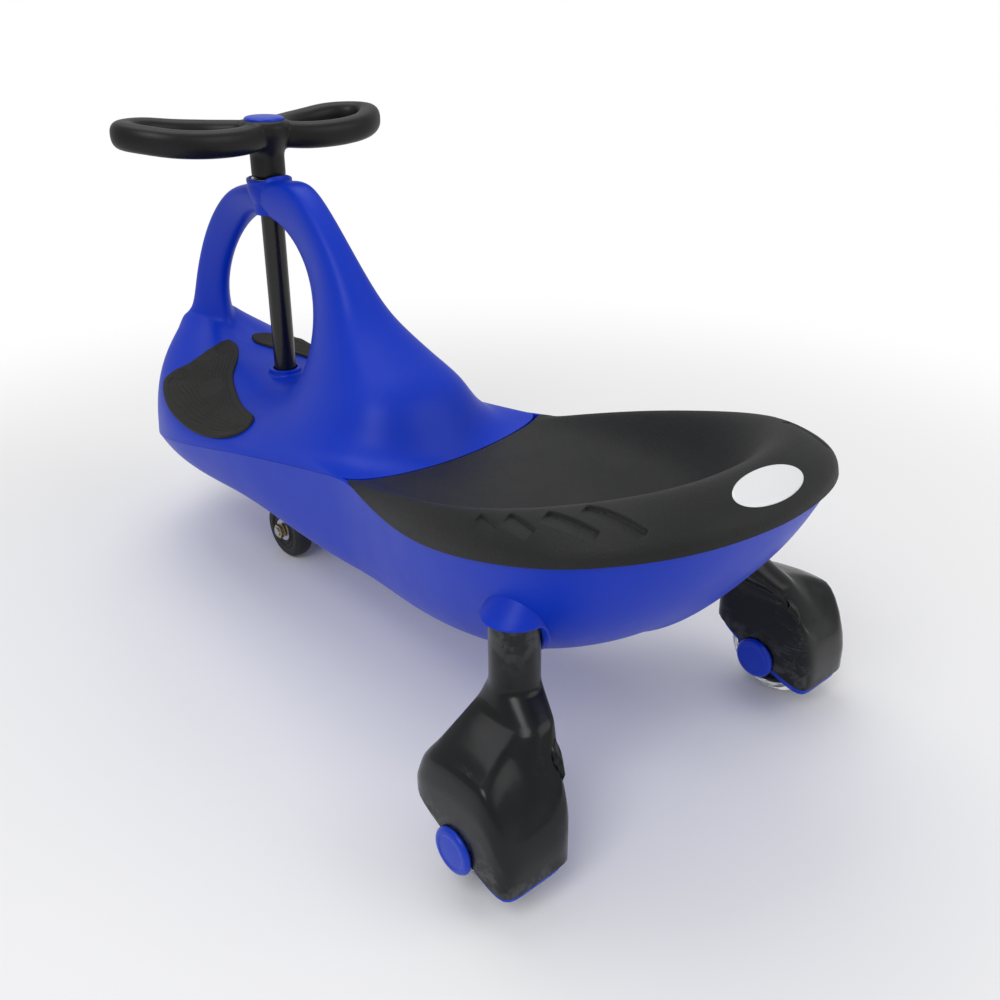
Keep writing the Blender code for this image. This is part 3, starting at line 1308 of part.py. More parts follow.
def make_truck(column):
    """Make the front truck below the tube, with its axle, nuts and two wheels."""
    washer_top, stem_top = truck_heights()
    washer = tube_profile(TUBE_RADIUS + RUNNING_GAP, WASHER_RADIUS, washer_top - WASHER_HEIGHT, washer_top)
    add_object("thrust_washer", turned("thrust_washer", washer, 16), (STEEL, 0.2, 1.0), column)

    axle_height = along_column(FRONT_WHEEL_RADIUS) + FRONT_TRAIL * math.tan(COLUMN_TILT)
    stem_bottom = along_column(TRUCK_STEM_BOTTOM_Z)
    stem = turned("front_truck", disc_profile(TRUCK_STEM_RADIUS, stem_bottom, stem_top), 24)
    truck = add_object("front_truck", stem, (BLACK, 0.35), column)
    half = TRUCK_PLATE_HALF_WIDTH
    plate = bmesh.new()
    outline = [
        (TRUCK_STEM_RADIUS * 0.6, stem_bottom + 0.001),
        (TRUCK_STEM_RADIUS * 0.6, stem_top - 0.003),
        (-TRUCK_STEM_RADIUS * 0.8, stem_top - 0.003),
        (-FRONT_TRAIL - TRUCK_BOSS_RADIUS * 0.95, axle_height + 0.004),
        (-FRONT_TRAIL, axle_height - TRUCK_BOSS_RADIUS * 0.98),
    ]
    corners = [plate.verts.new((x, -half, z)) for x, z in outline]
    face = plate.faces.new(corners)
    pushed = bmesh.ops.extrude_face_region(plate, geom=[face])
    moved = [item for item in pushed["geom"] if isinstance(item, bmesh.types.BMVert)]
    bmesh.ops.translate(plate, verts=moved, vec=(0.0, 2 * half, 0.0))
    boolean(truck, "UNION", "truck_plate", mesh_from(plate, "truck_plate"), column)
    reach = FRONT_WHEEL_Y - FRONT_WHEEL_WIDTH / 2 - RUNNING_GAP
    place = across(-FRONT_TRAIL, 0.0, axle_height)
    boss = turned("truck_boss", disc_profile(TRUCK_BOSS_RADIUS, -reach, reach), 24)
    boolean(truck, "UNION", "truck_boss", boss, column, place)
    axle_hole = turned("truck_axle_hole", disc_profile(AXLE_RADIUS + FIT_GAP, -0.05, 0.05), 20)
    boolean(truck, "DIFFERENCE", "truck_axle_hole", axle_hole, column, place)
    tube_hole = turned(
        "truck_tube_hole", disc_profile(TUBE_RADIUS + FIT_GAP, tube_bottom() - FIT_GAP, 0.0), 28
    )
    boolean(truck, "DIFFERENCE", "truck_tube_hole", tube_hole, column)

    outer = FRONT_WHEEL_Y + FRONT_WHEEL_WIDTH / 2 + RUNNING_GAP
    end = outer + NUT_HEIGHT + 0.0015
    axle = turned("front_axle", disc_profile(AXLE_RADIUS, -end, end), 16)
    add_object("front_axle", axle, (STEEL, 0.25, 1.0), column, place)
    for side, low in (("left", outer), ("right", -outer - NUT_HEIGHT)):
        label = f"front_nut_{side}"
        nut = hexagon_profile_mesh(label, NUT_RADIUS, low, low + NUT_HEIGHT, AXLE_RADIUS + AXLE_FIT)
        add_object(label, nut, ((0.62, 0.50, 0.25), 0.3, 1.0), column, place)
    for side, sign in SIDES.items():
        make_front_wheel(column, side, sign, axle_height)


def tube_bottom():
    """Return where the tube ends inside the truck's stem, along the column."""
    return along_column(TRUCK_STEM_BOTTOM_Z) + 0.006


def make_front_wheel(column, side, sign, axle_height):
    """Make one front wheel with its tyre, core and bearing."""
    hub = bpy.data.objects.new(f"front_wheel_{side}_axis", None)
    bpy.context.scene.collection.objects.link(hub)
    hub.parent = column
    hub.matrix_local = across(-FRONT_TRAIL, sign * FRONT_WHEEL_Y, axle_height)
    half = FRONT_WHEEL_WIDTH / 2
    tyre = [
        (FRONT_CORE_RADIUS + FIT_GAP, -half),
        (FRONT_WHEEL_RADIUS - 0.0040, -half),
        (FRONT_WHEEL_RADIUS - 0.0010, -half + 0.0025),
        (FRONT_WHEEL_RADIUS, -half + 0.0060),
        (FRONT_WHEEL_RADIUS, half - 0.0060),
        (FRONT_WHEEL_RADIUS - 0.0010, half - 0.0025),
        (FRONT_WHEEL_RADIUS - 0.0040, half),
        (FRONT_CORE_RADIUS + FIT_GAP, half),
    ]
    add_object(f"front_tyre_{side}", turned(f"front_tyre_{side}", tyre, 24), (GREY, 0.6), hub)
    core = [
        (BEARING_RADIUS + FIT_GAP, -half),
        (FRONT_CORE_RADIUS, -half),
        (FRONT_CORE_RADIUS, half),
        (BEARING_RADIUS + FIT_GAP, half),
    ]
    add_object(f"front_core_{side}", turned(f"front_core_{side}", core, 20), (BLACK, 0.45), hub)
    ring = tube_profile(AXLE_RADIUS + AXLE_FIT, BEARING_RADIUS, -half + 0.0005, half - 0.0005)
    add_object(f"front_bearing_{side}", turned(f"front_bearing_{side}", ring, 12), (STEEL, 0.25, 1.0), hub)


def main():
    """Build the whole car."""
    clear_scene()
    root = bpy.data.objects.new("swing_car", None)
    bpy.context.scene.collection.objects.link(root)
    root.location = (-CAR_MIDDLE_X, 0.0, 0.0)
    column = bpy.data.objects.new("steering_axis", None)
    bpy.context.scene.collection.objects.link(column)
    column.parent = root
    column.matrix_local = column_frame(COLUMN_FOOT_Z)

    shell = make_upper_shell(root, column)
    hull = make_lower_hull(root, column)
    seat = make_seat(root)
    make_foot_pads(root)
    make_seat_badge(root)
    add_screw_posts("shell_screw", SHELL_SCREW_PLACES, hull, shell, SHELL_WALL, root)
    add_screw_posts("seat_screw", SEAT_SCREW_PLACES, hull, seat, SEAT_WALL, root)
    make_leg_screws(root)
    for side, sign in SIDES.items():
        make_leg(root, side, sign)
        make_fork(root, side, sign)
        make_rear_wheel(root, side, sign)
    make_column(column)
    make_handlebar(column)
    make_handlebar_bolt(column)
    make_truck(column)


main()
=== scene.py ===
"""Swing car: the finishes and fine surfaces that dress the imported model.

The car faces +X, its left side is +Y and +Z is up, in metres. Tables of drawn points are in
millimetres, measured from the steering column's foot on the car's middle line.
"""

import json
import logging
import math
from dataclasses import dataclass, field
from enum import Enum
from typing import Callable, Sequence, Union

import bmesh
import bpy
import numpy as np
from mathutils import Matrix, Vector
from mathutils.bvhtree import BVHTree


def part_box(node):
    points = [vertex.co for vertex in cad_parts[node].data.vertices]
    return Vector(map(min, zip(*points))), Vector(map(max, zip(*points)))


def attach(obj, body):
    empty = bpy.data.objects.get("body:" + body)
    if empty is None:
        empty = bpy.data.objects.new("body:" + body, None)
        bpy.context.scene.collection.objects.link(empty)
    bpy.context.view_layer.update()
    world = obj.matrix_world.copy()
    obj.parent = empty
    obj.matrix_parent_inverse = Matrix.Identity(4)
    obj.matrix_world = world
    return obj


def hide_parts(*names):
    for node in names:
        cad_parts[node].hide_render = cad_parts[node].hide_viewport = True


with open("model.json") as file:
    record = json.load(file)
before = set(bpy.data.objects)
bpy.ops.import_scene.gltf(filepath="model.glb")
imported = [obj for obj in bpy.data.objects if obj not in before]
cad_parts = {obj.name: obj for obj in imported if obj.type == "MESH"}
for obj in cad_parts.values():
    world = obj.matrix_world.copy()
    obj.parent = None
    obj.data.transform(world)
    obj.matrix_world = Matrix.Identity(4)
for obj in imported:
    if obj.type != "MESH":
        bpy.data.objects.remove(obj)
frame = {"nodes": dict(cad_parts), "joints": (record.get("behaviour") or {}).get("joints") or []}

log = logging.getLogger("swing_car")

MM = 0.001
FIT_GAP = 0.0003
UP = Vector((0.0, 0.0, 1.0))
DOWN = Vector((0.0, 0.0, -1.0))
NOWHERE = 1e-6
TURN_STEPS = 96
CORNER_SHARE = 0.45
MIRROR_MERGE = 0.00005
NODE_WELD = 0.00001
NODE_EDGE_ANGLE = 35.0
MOULDING_ANGLE = 50.0
THIN_ANGLE = 60.0
TURNED_ANGLE = 35.0

Mesh = bpy.types.Mesh
Piece = bpy.types.Object
Node = bpy.types.Node
Plug = bpy.types.NodeSocket
Outputs = bpy.types.NodeOutputs
Socket = Union[Plug, float, tuple]
Pair = tuple[float, float]
Triple = tuple[float, float, float]
Colour = Triple
Point = Sequence[float]
Ring = list[Vector]
Section = list[Pair]
Picker = Callable[[Vector], bool]
Relief = Callable[[np.ndarray, np.ndarray], np.ndarray]


class Side(Enum):
    """The two sides of the car, with their sign along Y."""

    LEFT = 1.0
    RIGHT = -1.0

    @property
    def word(self) -> str:
        """Return the side's name as the frame's nodes spell it."""
        return self.name.lower()


class Body(Enum):
    """The bodies of the frame that pieces ride on."""

    CAR = "root"
    STEERING = "steering"
    FRONT_LEFT = "front_wheel_left"
    FRONT_RIGHT = "front_wheel_right"
    REAR_LEFT = "rear_wheel_left"
    REAR_RIGHT = "rear_wheel_right"


def joint_of(name: str) -> dict:
    """Return the frame's joint of a name."""
    return next(joint for joint in frame["joints"] if joint["name"] == name)


def joint_place(name: str) -> Vector:
    """Return where a joint of the frame is, in metres."""
    return Vector(joint_of(name)["pos_m"])


@dataclass(frozen=True)
class SteeringLine:
    """The tilted line that the handlebar, the tube and the truck turn about."""

    foot: Vector
    axis: Vector

    @classmethod
    def from_frame(cls) -> "SteeringLine":
        """Return the line of the frame's steering joint."""
        joint = joint_of("steering_turn")
        return cls(Vector(joint["pos_m"]), Vector(joint["axis"]).normalized())

    @property
    def matrix(self) -> Matrix:
        """Return a frame at the foot with its Z along the line."""
        tilt = math.atan2(-self.axis.x, self.axis.z)
        return Matrix.Translation(self.foot) @ Matrix.Rotation(-tilt, 4, "Y")

    def along(self, height: float) -> float:
        """Return how far along the line a height above the ground is."""
        return (height - self.foot.z) / self.axis.z


STEERING = SteeringLine.from_frame()


def drawn(point: Point) -> Vector:
    """Return the place of a drawn point, given in millimetres from the column's foot."""
    return Vector((STEERING.foot.x + point[0] * MM, point[1] * MM, point[2] * MM))


def across(place: Vector) -> Matrix:
    """Return a frame at a place with its Z along the car's +Y."""
    return Matrix.Translation(place) @ Matrix.Rotation(math.radians(-90), 4, "X")


# Meshes


def rows_mesh(name: str, rows: Sequence[Ring], around: bool = False, closed: bool = False) -> Mesh:
    """Join rows of points into a grid of four-sided faces.

    Args:
        name: The mesh's name.
        rows: Rows of equally many points. A row of one point is a pole.
        around: Whether each row closes on itself.
        closed: Whether the last row joins the first.

    Returns:
        The mesh, with its faces turned outwards.
    """
    bm = bmesh.new()
    made = [[bm.verts.new(point) for point in row] for row in rows]
    for low, high in zip(made, made[1:] + made[:1] if closed else made[1:]):
        long = max(len(low), len(high))
        for j in range(long if around else long - 1):
            after = (j + 1) % long
            corners = [low[j % len(low)], low[after % len(low)], high[after % len(high)], high[j % len(high)]]
            corners = list(dict.fromkeys(corners))
            if len(corners) > 2:
                bm.faces.new(corners)
    bmesh.ops.recalc_face_normals(bm, faces=bm.faces)
    mesh = bpy.data.meshes.new(name)
    bm.to_mesh(mesh)
    bm.free()
    return mesh


def joined(name: str, meshes: Sequence[Mesh]) -> Mesh:
    """Return one mesh that holds several, each as it is.

    Args:
        name: The mesh's name.
        meshes: The meshes to hold.

    Returns:
        The mesh.
    """
    bm = bmesh.new()
    for mesh in meshes:
        bm.from_mesh(mesh)
    made = bpy.data.meshes.new(name)
    bm.to_mesh(made)
    bm.free()
    return made


def new_piece(name: str, mesh: Mesh) -> Piece:
    """Put a mesh into the scene under a name.

    Args:
        name: The piece's name.
        mesh: Its mesh.

    Returns:
        The piece.
    """
    made = bpy.data.objects.new(name, mesh)
    bpy.context.scene.collection.objects.link(made)
    return made


def add_step(made: Piece, kind: str, **settings: object) -> None:
    """Add a modifier to a piece with the settings given.

    Args:
        made: The piece.
        kind: The modifier's kind.
        settings: The modifier's settings by name.
    """
    step = made.modifiers.new(kind.title(), kind)
    for key, value in settings.items():
        setattr(step, key, value)


def settle(made: Piece) -> Piece:
    """Replace a piece's mesh by what its modifiers make of it.

    Args:
        made: The piece.

    Returns:
        The same piece.
    """
    bpy.context.view_layer.update()
    graph = bpy.context.evaluated_depsgraph_get()
    mesh = bpy.data.meshes.new_from_object(made.evaluated_get(graph))
    made.modifiers.clear()
    made.data = mesh
    return made


def shade(made: Piece, angle: float) -> None:
    """Shade a piece smoothly, apart from edges sharper than an angle in degrees."""
    made.data.shade_smooth()
    made.data.set_sharp_from_angle(angle=math.radians(angle))


def coordinates(mesh: Mesh) -> np.ndarray:
    """Return a mesh's points as rows of three numbers.

    Args:
        mesh: The mesh.

    Returns:
        The points, in metres.
    """
    points = np.empty(len(mesh.vertices) * 3)
    mesh.vertices.foreach_get("co", points)
    return points.reshape(-1, 3)


def set_coordinates(mesh: Mesh, points: np.ndarray) -> None:
    """Move a mesh's points to new places."""
    mesh.vertices.foreach_set("co", points.astype(np.float32).ravel())
    mesh.update()


def tree_of(mesh: Mesh) -> BVHTree:
    """Return a search tree of a mesh.

    Args:
        mesh: The mesh.

    Returns:
        The tree.
    """
    bm = bmesh.new()
    bm.from_mesh(mesh)
    tree = BVHTree.FromBMesh(bm)
    bm.free()
    return tree


def smooth_half(name: str, rows: Sequence[Ring], wrap: bool, levels: int) -> Piece:
    """Complete a left half with its right one and smooth it.

    Args:
        name: The piece's name.
        rows: The left half's control points.
        wrap: Whether the last row joins the first.
        levels: How many times the cage is subdivided.

    Returns:
        The piece, with its mesh final but for its wall.
    """
    made = new_piece(name, rows_mesh(name, rows, closed=wrap))
    add_step(made, "MIRROR", use_axis=(False, True, False), use_clip=True, merge_threshold=MIRROR_MERGE)
    add_step(made, "SUBSURF", levels=levels, render_levels=levels)
    return settle(made)


def thicken(made: Piece, wall: float) -> Piece:
    """Give an open surface its wall, towards the inside."""
    add_step(made, "SOLIDIFY", thickness=wall, offset=-1.0)
    return settle(made)


def drop_faces(mesh: Mesh, unwanted: Picker) -> None:
    """Delete the faces whose middle a test picks out, with the points that only they used.

    Args:
        mesh: The mesh to change.
        unwanted: Tells whether a face with this middle goes.
    """
    bm = bmesh.new()
    bm.from_mesh(mesh)
    doomed = [face for face in bm.faces if unwanted(face.calc_center_median())]
    bmesh.ops.delete(bm, geom=doomed, context="FACES")
    bm.to_mesh(mesh)
    bm.free()


def refine(mesh: Mesh, wanted: Picker, cuts: int) -> None:
    """Divide the faces whose middle a test picks out into smaller ones.

    Args:
        mesh: The mesh to change.
        wanted: Tells whether a face with this middle is divided.
        cuts: How many times each edge is cut.
    """
    bm = bmesh.new()
    bm.from_mesh(mesh)
    edges = {edge for face in bm.faces if wanted(face.calc_center_median()) for edge in face.edges}
    bmesh.ops.subdivide_edges(bm, edges=list(edges), cuts=cuts, use_grid_fill=True)
    bm.to_mesh(mesh)
    bm.free()


def rounded_line(points: Sequence[Vector], radius: float, steps: int = 4) -> Ring:
    """Round the inner corners of a line.

    Args:
        points: The line's points, in a plane or in space.
        radius: How far from each corner the rounding starts.
        steps: How many points a rounding gets.

    Returns:
        The line with each inner corner replaced by a short curve.
    """
    made = [points[0]]
    for before, corner, after in zip(points, points[1:], points[2:]):
        back = before - corner
        on = after - corner
        start = corner + back * min(CORNER_SHARE, radius / max(back.length, NOWHERE))
        end = corner + on * min(CORNER_SHARE, radius / max(on.length, NOWHERE))
        for step in range(steps + 1):
            share = step / steps
            made.append(start.lerp(corner, share).lerp(corner.lerp(end, share), share))
    made.append(points[-1])
    return made


def rounded(outline: Section, radius: float, steps: int = 4) -> Section:
    """Round the inner corners of an outline of (radius, height) points."""
    line = rounded_line([Vector(point) for point in outline], radius, steps)
    return [(point.x, point.y) for point in line]


def rounded_ring(section: Section, radius: float) -> Section:
    """Round the corners of a closed ring's section, apart from its first point."""
    return rounded([*section, section[0]], radius)[:-1]


def both_faces(face: Section) -> Section:
    """Return the section of a wheel's piece from that of its lower face."""
    return face + [(radius, -height) for radius, height in reversed(face)]


def turned(name: str, outline: Section, place: Matrix, steps: int = TURN_STEPS, closed: bool = False) -> Mesh:
    """Turn an outline of (radius, height) points about a frame's Z axis.

    Args:
        name: The mesh's name.
        outline: The section, from one end on the axis to the other, or a closed ring's section.
        place: The frame whose Z axis it is turned about.
        steps: How many points a turn has.
        closed: Whether the section is a ring's, whose last point joins its first.

    Returns:
        The turned mesh.
    """
    rows: list[Ring] = []
    for radius, height in outline:
        if radius < NOWHERE:
            rows.append([place @ Vector((0.0, 0.0, height))])
            continue
        ring = []
        for step in range(steps):
            angle = 2 * math.pi * step / steps
            ring.append(place @ Vector((radius * math.cos(angle), radius * math.sin(angle), height)))
        rows.append(ring)
    return rows_mesh(name, rows, around=True, closed=closed)


def through(points: Sequence[Vector], steps: int, loop: bool = False) -> Ring:
    """Return a smooth line through points.

    Args:
        points: The points that the line passes through.
        steps: How many points each stretch gets.
        loop: Whether the line closes on itself.

    Returns:
        The line's points, without its first one repeated at the end of a loop.
    """
    count = len(points)
    made = []
    for i in range(count if loop else count - 1):
        if loop:
            a, b, c, d = (points[(i + k) % count] for k in (-1, 0, 1, 2))
        else:
            a, b, c, d = (points[min(max(i + k, 0), count - 1)] for k in (-1, 0, 1, 2))
        for step in range(steps):
            t = step / steps
            bend = (2 * a - 5 * b + 4 * c - d) * t ** 2 + (3 * b - a - 3 * c + d) * t ** 3
            made.append(0.5 * (2 * b + (c - a) * t + bend))
    if not loop:
        made.append(points[-1])
    return made


def eased(value: np.ndarray) -> np.ndarray:
    """Return values held between 0 and 1 with soft ends."""
    held = np.clip(value, 0.0, 1.0)
    return held * held * (3 - 2 * held)


def finish_piece(made: Piece, body: Body, finish: "Finish", node: str) -> None:
    """Give a piece its finish, its body and the frame's node that it stands for.

    Args:
        made: The piece.
        body: The body that it moves with.
        finish: The finish of its surface.
        node: The frame's node that it replaces.
    """
    made.data.materials.clear()
    made.data.materials.append(finish.material())
    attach(made, body.value)
    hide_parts(node)
    log.info("%s: %d faces", made.name, len(made.data.polygons))


@dataclass(frozen=True)
class TurnedPiece:
    """A piece that is turned about an axis: its name, its section and what it stands for."""

    name: str
    section: Section
    place: Matrix
    node: str
    steps: int = TURN_STEPS
    closed: bool = False

    def build(self, body: Body, slot: str, finish: "Finish") -> None:
        """Turn the section and finish the piece.

        Args:
            body: The body that it moves with.
            slot: The name of a material slot; not used.
            finish: The finish of its surface.
        """
        made = new_piece(self.name, turned(self.name, self.section, self.place, self.steps, self.closed))
        shade(made, TURNED_ANGLE)
        finish_piece(made, body, finish, self.node)


def dress_node(node: str, finish: "Finish", edge: float = 0.0003) -> None:
    """Give a node of the frame a finish and softer edges, and leave its shape as it is.

    Args:
        node: The node's name.
        finish: The finish of its surface.
        edge: How wide its sharp edges are rounded.
    """
    made = frame["nodes"][node]
    for place in made.material_slots:
        place.material = finish.material()
    add_step(made, "WELD", merge_threshold=NODE_WELD)
    limit = math.radians(NODE_EDGE_ANGLE)
    add_step(made, "BEVEL", width=edge, segments=2, limit_method="ANGLE", angle_limit=limit)
    log.info("%s keeps its shape", node)


# Effects that several finishes share


class NodeBench:
    """Adds shader nodes to a tree and joins them."""

    def __init__(self, tree: bpy.types.NodeTree) -> None:
        """Remember the tree to work on."""
        self.tree = tree

    def add(self, kind: str, **settings: object) -> Node:
        """Add a node with the settings given.

        Args:
            kind: The node's kind.
            settings: The node's settings by name.

        Returns:
            The node.
        """
        node = self.tree.nodes.new(kind)
        for key, value in settings.items():
            setattr(node, key, value)
        return node

    def feed(self, target: Plug, value: Socket) -> None:
        """Join a socket to a source, or set it to a value.

        Args:
            target: The socket that is fed.
            value: The source or the value.
        """
        if isinstance(value, Plug):
            self.tree.links.new(value, target)
        else:
            target.default_value = value

    def maths(self, operation: str, first: Socket, second: Socket = 0.0, clamp: bool = False) -> Plug:
        """Return the result of a sum on two values.

        Args:
            operation: The sum.
            first: The first value.
            second: The second value.
            clamp: Whether the result is held between 0 and 1.

        Returns:
            The result.
        """
        node = self.add("ShaderNodeMath", operation=operation, use_clamp=clamp)
        self.feed(node.inputs[0], first)
        self.feed(node.inputs[1], second)
        return node.outputs[0]

    def spread(self, value: Plug, low: float, high: float, start: float = 0.0, end: float = 1.0) -> Plug:
        """Return a value moved from one range to another and held inside it.

        Args:
            value: The value.
            low: Where its range starts.
            high: Where its range ends.
            start: Where the new range starts.
            end: Where the new range ends.

        Returns:
            The moved value.
        """
        node = self.add("ShaderNodeMapRange", interpolation_type="SMOOTHSTEP")
        names = ("Value", "From Min", "From Max", "To Min", "To Max")
        for name, part in zip(names, (value, low, high, start, end)):
            self.feed(node.inputs[name], part)
        return node.outputs["Result"]

    def noise(self, vector: Plug, scale: Socket, detail: float = 2.0, rough: float = 0.5) -> Plug:
        """Return a noise value from 0 to 1.

        Args:
            vector: The place.
            scale: How many cells a metre has.
            detail: How many finer layers it has.
            rough: How strong the finer layers are.

        Returns:
            The noise.
        """
        node = self.add("ShaderNodeTexNoise")
        self.feed(node.inputs["Vector"], vector)
        self.feed(node.inputs["Scale"], scale)
        self.feed(node.inputs["Detail"], detail)
        self.feed(node.inputs["Roughness"], rough)
        return node.outputs["Fac"]

    def stretched(self, vector: Plug, turn: Point, stretch: Point) -> Plug:
        """Return a vector turned by degrees and stretched along its axes.

        Args:
            vector: The place.
            turn: The turn about each axis.
            stretch: The scale along each axis.

        Returns:
            The new vector.
        """
        node = self.add("ShaderNodeMapping")
        self.feed(node.inputs["Vector"], vector)
        node.inputs["Rotation"].default_value = [math.radians(angle) for angle in turn]
        node.inputs["Scale"].default_value = stretch
        return node.outputs["Vector"]

    def mixed(self, share: Plug, first: Plug, second: Colour) -> Plug:
        """Return a colour that goes over to a plain one by a share.

        Args:
            share: How much of the plain colour shows.
            first: The colour below.
            second: The plain colour.

        Returns:
            The mixed colour.
        """
        node = self.add("ShaderNodeMix", data_type="RGBA")
        self.feed(node.inputs["Factor"], share)
        self.feed(node.inputs["A"], first)
        self.feed(node.inputs["B"], (*second, 1.0))
        return next(out for out in node.outputs if out.type == "RGBA")


class Effect:
    """A shader node group with named inputs and outputs, built once."""

    name = "effect"
    inputs: dict[str, str] = {}
    outputs: dict[str, str] = {}

    def group(self) -> bpy.types.NodeTree:
        """Return the group, and build it the first time.

        Returns:
            The group.
        """
        found = bpy.data.node_groups.get(self.name)
        if found is not None:
            return found
        tree = bpy.data.node_groups.new(self.name, "ShaderNodeTree")
        for label, kind in self.inputs.items():
            tree.interface.new_socket(label, in_out="INPUT", socket_type=kind)
        for label, kind in self.outputs.items():
            tree.interface.new_socket(label, in_out="OUTPUT", socket_type=kind)
        start = tree.nodes.new("NodeGroupInput")
        end = tree.nodes.new("NodeGroupOutput")
        bench = NodeBench(tree)
        for label, socket in self.build(bench, start.outputs).items():
            bench.feed(end.inputs[label], socket)
        return tree

    def build(self, bench: NodeBench, given: Outputs) -> dict[str, Plug]:
        """Build the group's inside and return its outputs by name.

        Args:
            bench: The group's nodes.
            given: The group's inputs.

        Returns:
            The group's outputs by name.
        """
        raise NotImplementedError

    def use(self, bench: NodeBench, **values: Socket) -> Plug:
        """Place the group in a material.

        Args:
            bench: The material's nodes.
            values: The group's inputs, with their names in lower case.

        Returns:
            The group's first output.
        """
        node = bench.add("ShaderNodeGroup", node_tree=self.group())
        for label in self.inputs:
            if label.lower() in values:
                bench.feed(node.inputs[label], values[label.lower()])
        return node.outputs[0]


class FineGrain(Effect):
    """The skin of a moulded part, from a soft ripple to a pebbled grain."""

    name = "fine_grain"
    inputs = {"Vector": "NodeSocketVector", "Scale": "NodeSocketFloat", "Cells": "NodeSocketFloat"}
    outputs = {"Height": "NodeSocketFloat"}

    def build(self, bench: NodeBench, given: Outputs) -> dict[str, Plug]:
        """Mix a ripple with rounded cells.

        Args:
            bench: The group's nodes.
            given: The group's inputs.

        Returns:
            The group's outputs by name.
        """
        ripple = bench.noise(given["Vector"], given["Scale"], 3.0, 0.55)
        cell = bench.add("ShaderNodeTexVoronoi", feature="SMOOTH_F1")
        bench.feed(cell.inputs["Vector"], given["Vector"])
        bench.feed(cell.inputs["Scale"], bench.maths("MULTIPLY", given["Scale"], 0.8))
        bench.feed(cell.inputs["Smoothness"], 0.35)
        pebble = bench.maths("SUBTRACT", 1.0, cell.outputs["Distance"])
        smooth = bench.maths("MULTIPLY", ripple, bench.maths("SUBTRACT", 1.0, given["Cells"]))
        return {"Height": bench.maths("ADD", smooth, bench.maths("MULTIPLY", pebble, given["Cells"]))}


class Scuffs(Effect):
    """Thin handling scratches in two directions, in patches."""

    name = "scuffs"
    inputs = {"Vector": "NodeSocketVector", "Scale": "NodeSocketFloat", "Amount": "NodeSocketFloat"}
    outputs = {"Mask": "NodeSocketFloat"}

    def build(self, bench: NodeBench, given: Outputs) -> dict[str, Plug]:
        """Stretch noise into hairlines and keep them where a broad noise is high.

        Args:
            bench: The group's nodes.
            given: The group's inputs.

        Returns:
            The group's outputs by name.
        """
        lines = []
        for turn in ((20.0, 35.0, 50.0), (-40.0, 15.0, -65.0)):
            way = bench.stretched(given["Vector"], turn, (0.9, 16.0, 16.0))
            line = bench.noise(way, given["Scale"], 1.0, 0.4)
            away = bench.maths("ABSOLUTE", bench.maths("SUBTRACT", line, 0.5))
            lines.append(bench.spread(away, 0.006, 0.0))
        hairs = bench.maths("MAXIMUM", *lines)
        broad = bench.noise(given["Vector"], bench.maths("MULTIPLY", given["Scale"], 1.4), 3.0)
        patch = bench.spread(broad, 0.54, 0.70)
        both = bench.maths("MULTIPLY", hairs, patch)
        return {"Mask": bench.maths("MULTIPLY", both, given["Amount"], clamp=True)}


class Dust(Effect):
    """A pale layer on faces that look up, thicker in patches: partly settled dirt and partly a painted sheen
    that lightens the tops.
    """

    name = "dust"
    inputs = {"Vector": "NodeSocketVector", "Scale": "NodeSocketFloat", "Amount": "NodeSocketFloat"}
    outputs = {"Mask": "NodeSocketFloat"}

    def build(self, bench: NodeBench, given: Outputs) -> dict[str, Plug]:
        """Multiply the share of a face that looks up by a patchy noise.

        Args:
            bench: The group's nodes.
            given: The group's inputs.

        Returns:
            The group's outputs by name.
        """
        place = bench.add("ShaderNodeTexCoord")
        parts = bench.add("ShaderNodeSeparateXYZ")
        bench.feed(parts.inputs["Vector"], place.outputs["Normal"])
        upward = bench.spread(parts.outputs["Z"], -0.1, 1.0, 0.15, 1.0)
        patch = bench.spread(bench.noise(given["Vector"], given["Scale"], 6.0, 0.65), 0.35, 0.75, 0.25, 1.0)
        both = bench.maths("MULTIPLY", upward, patch)
        return {"Mask": bench.maths("MULTIPLY", both, given["Amount"], clamp=True)}


class ColourDrift(Effect):
    """A slow drift of brightness over a moulded colour."""

    name = "colour_drift"
    inputs = {
        "Vector": "NodeSocketVector",
        "Color": "NodeSocketColor",
        "Scale": "NodeSocketFloat",
        "Spread": "NodeSocketFloat",
    }
    outputs = {"Color": "NodeSocketColor"}

    def build(self, bench: NodeBench, given: Outputs) -> dict[str, Plug]:
        """Scale the colour's brightness by two sizes of noise.

        Args:
            bench: The group's nodes.
            given: The group's inputs.

        Returns:
            The group's outputs by name.
        """
        slow = bench.noise(given["Vector"], given["Scale"], 2.0)
        fine = bench.noise(given["Vector"], bench.maths("MULTIPLY", given["Scale"], 14.0), 3.0)
        both = bench.maths("ADD", bench.maths("MULTIPLY", slow, 0.75), bench.maths("MULTIPLY", fine, 0.25))
        centred = bench.maths("MULTIPLY", bench.maths("SUBTRACT", both, 0.5), given["Spread"])
        hue = bench.add("ShaderNodeHueSaturation")
        bench.feed(hue.inputs["Color"], given["Color"])
        bench.feed(hue.inputs["Value"], bench.maths("ADD", centred, 1.0))
        return {"Color": hue.outputs["Color"]}


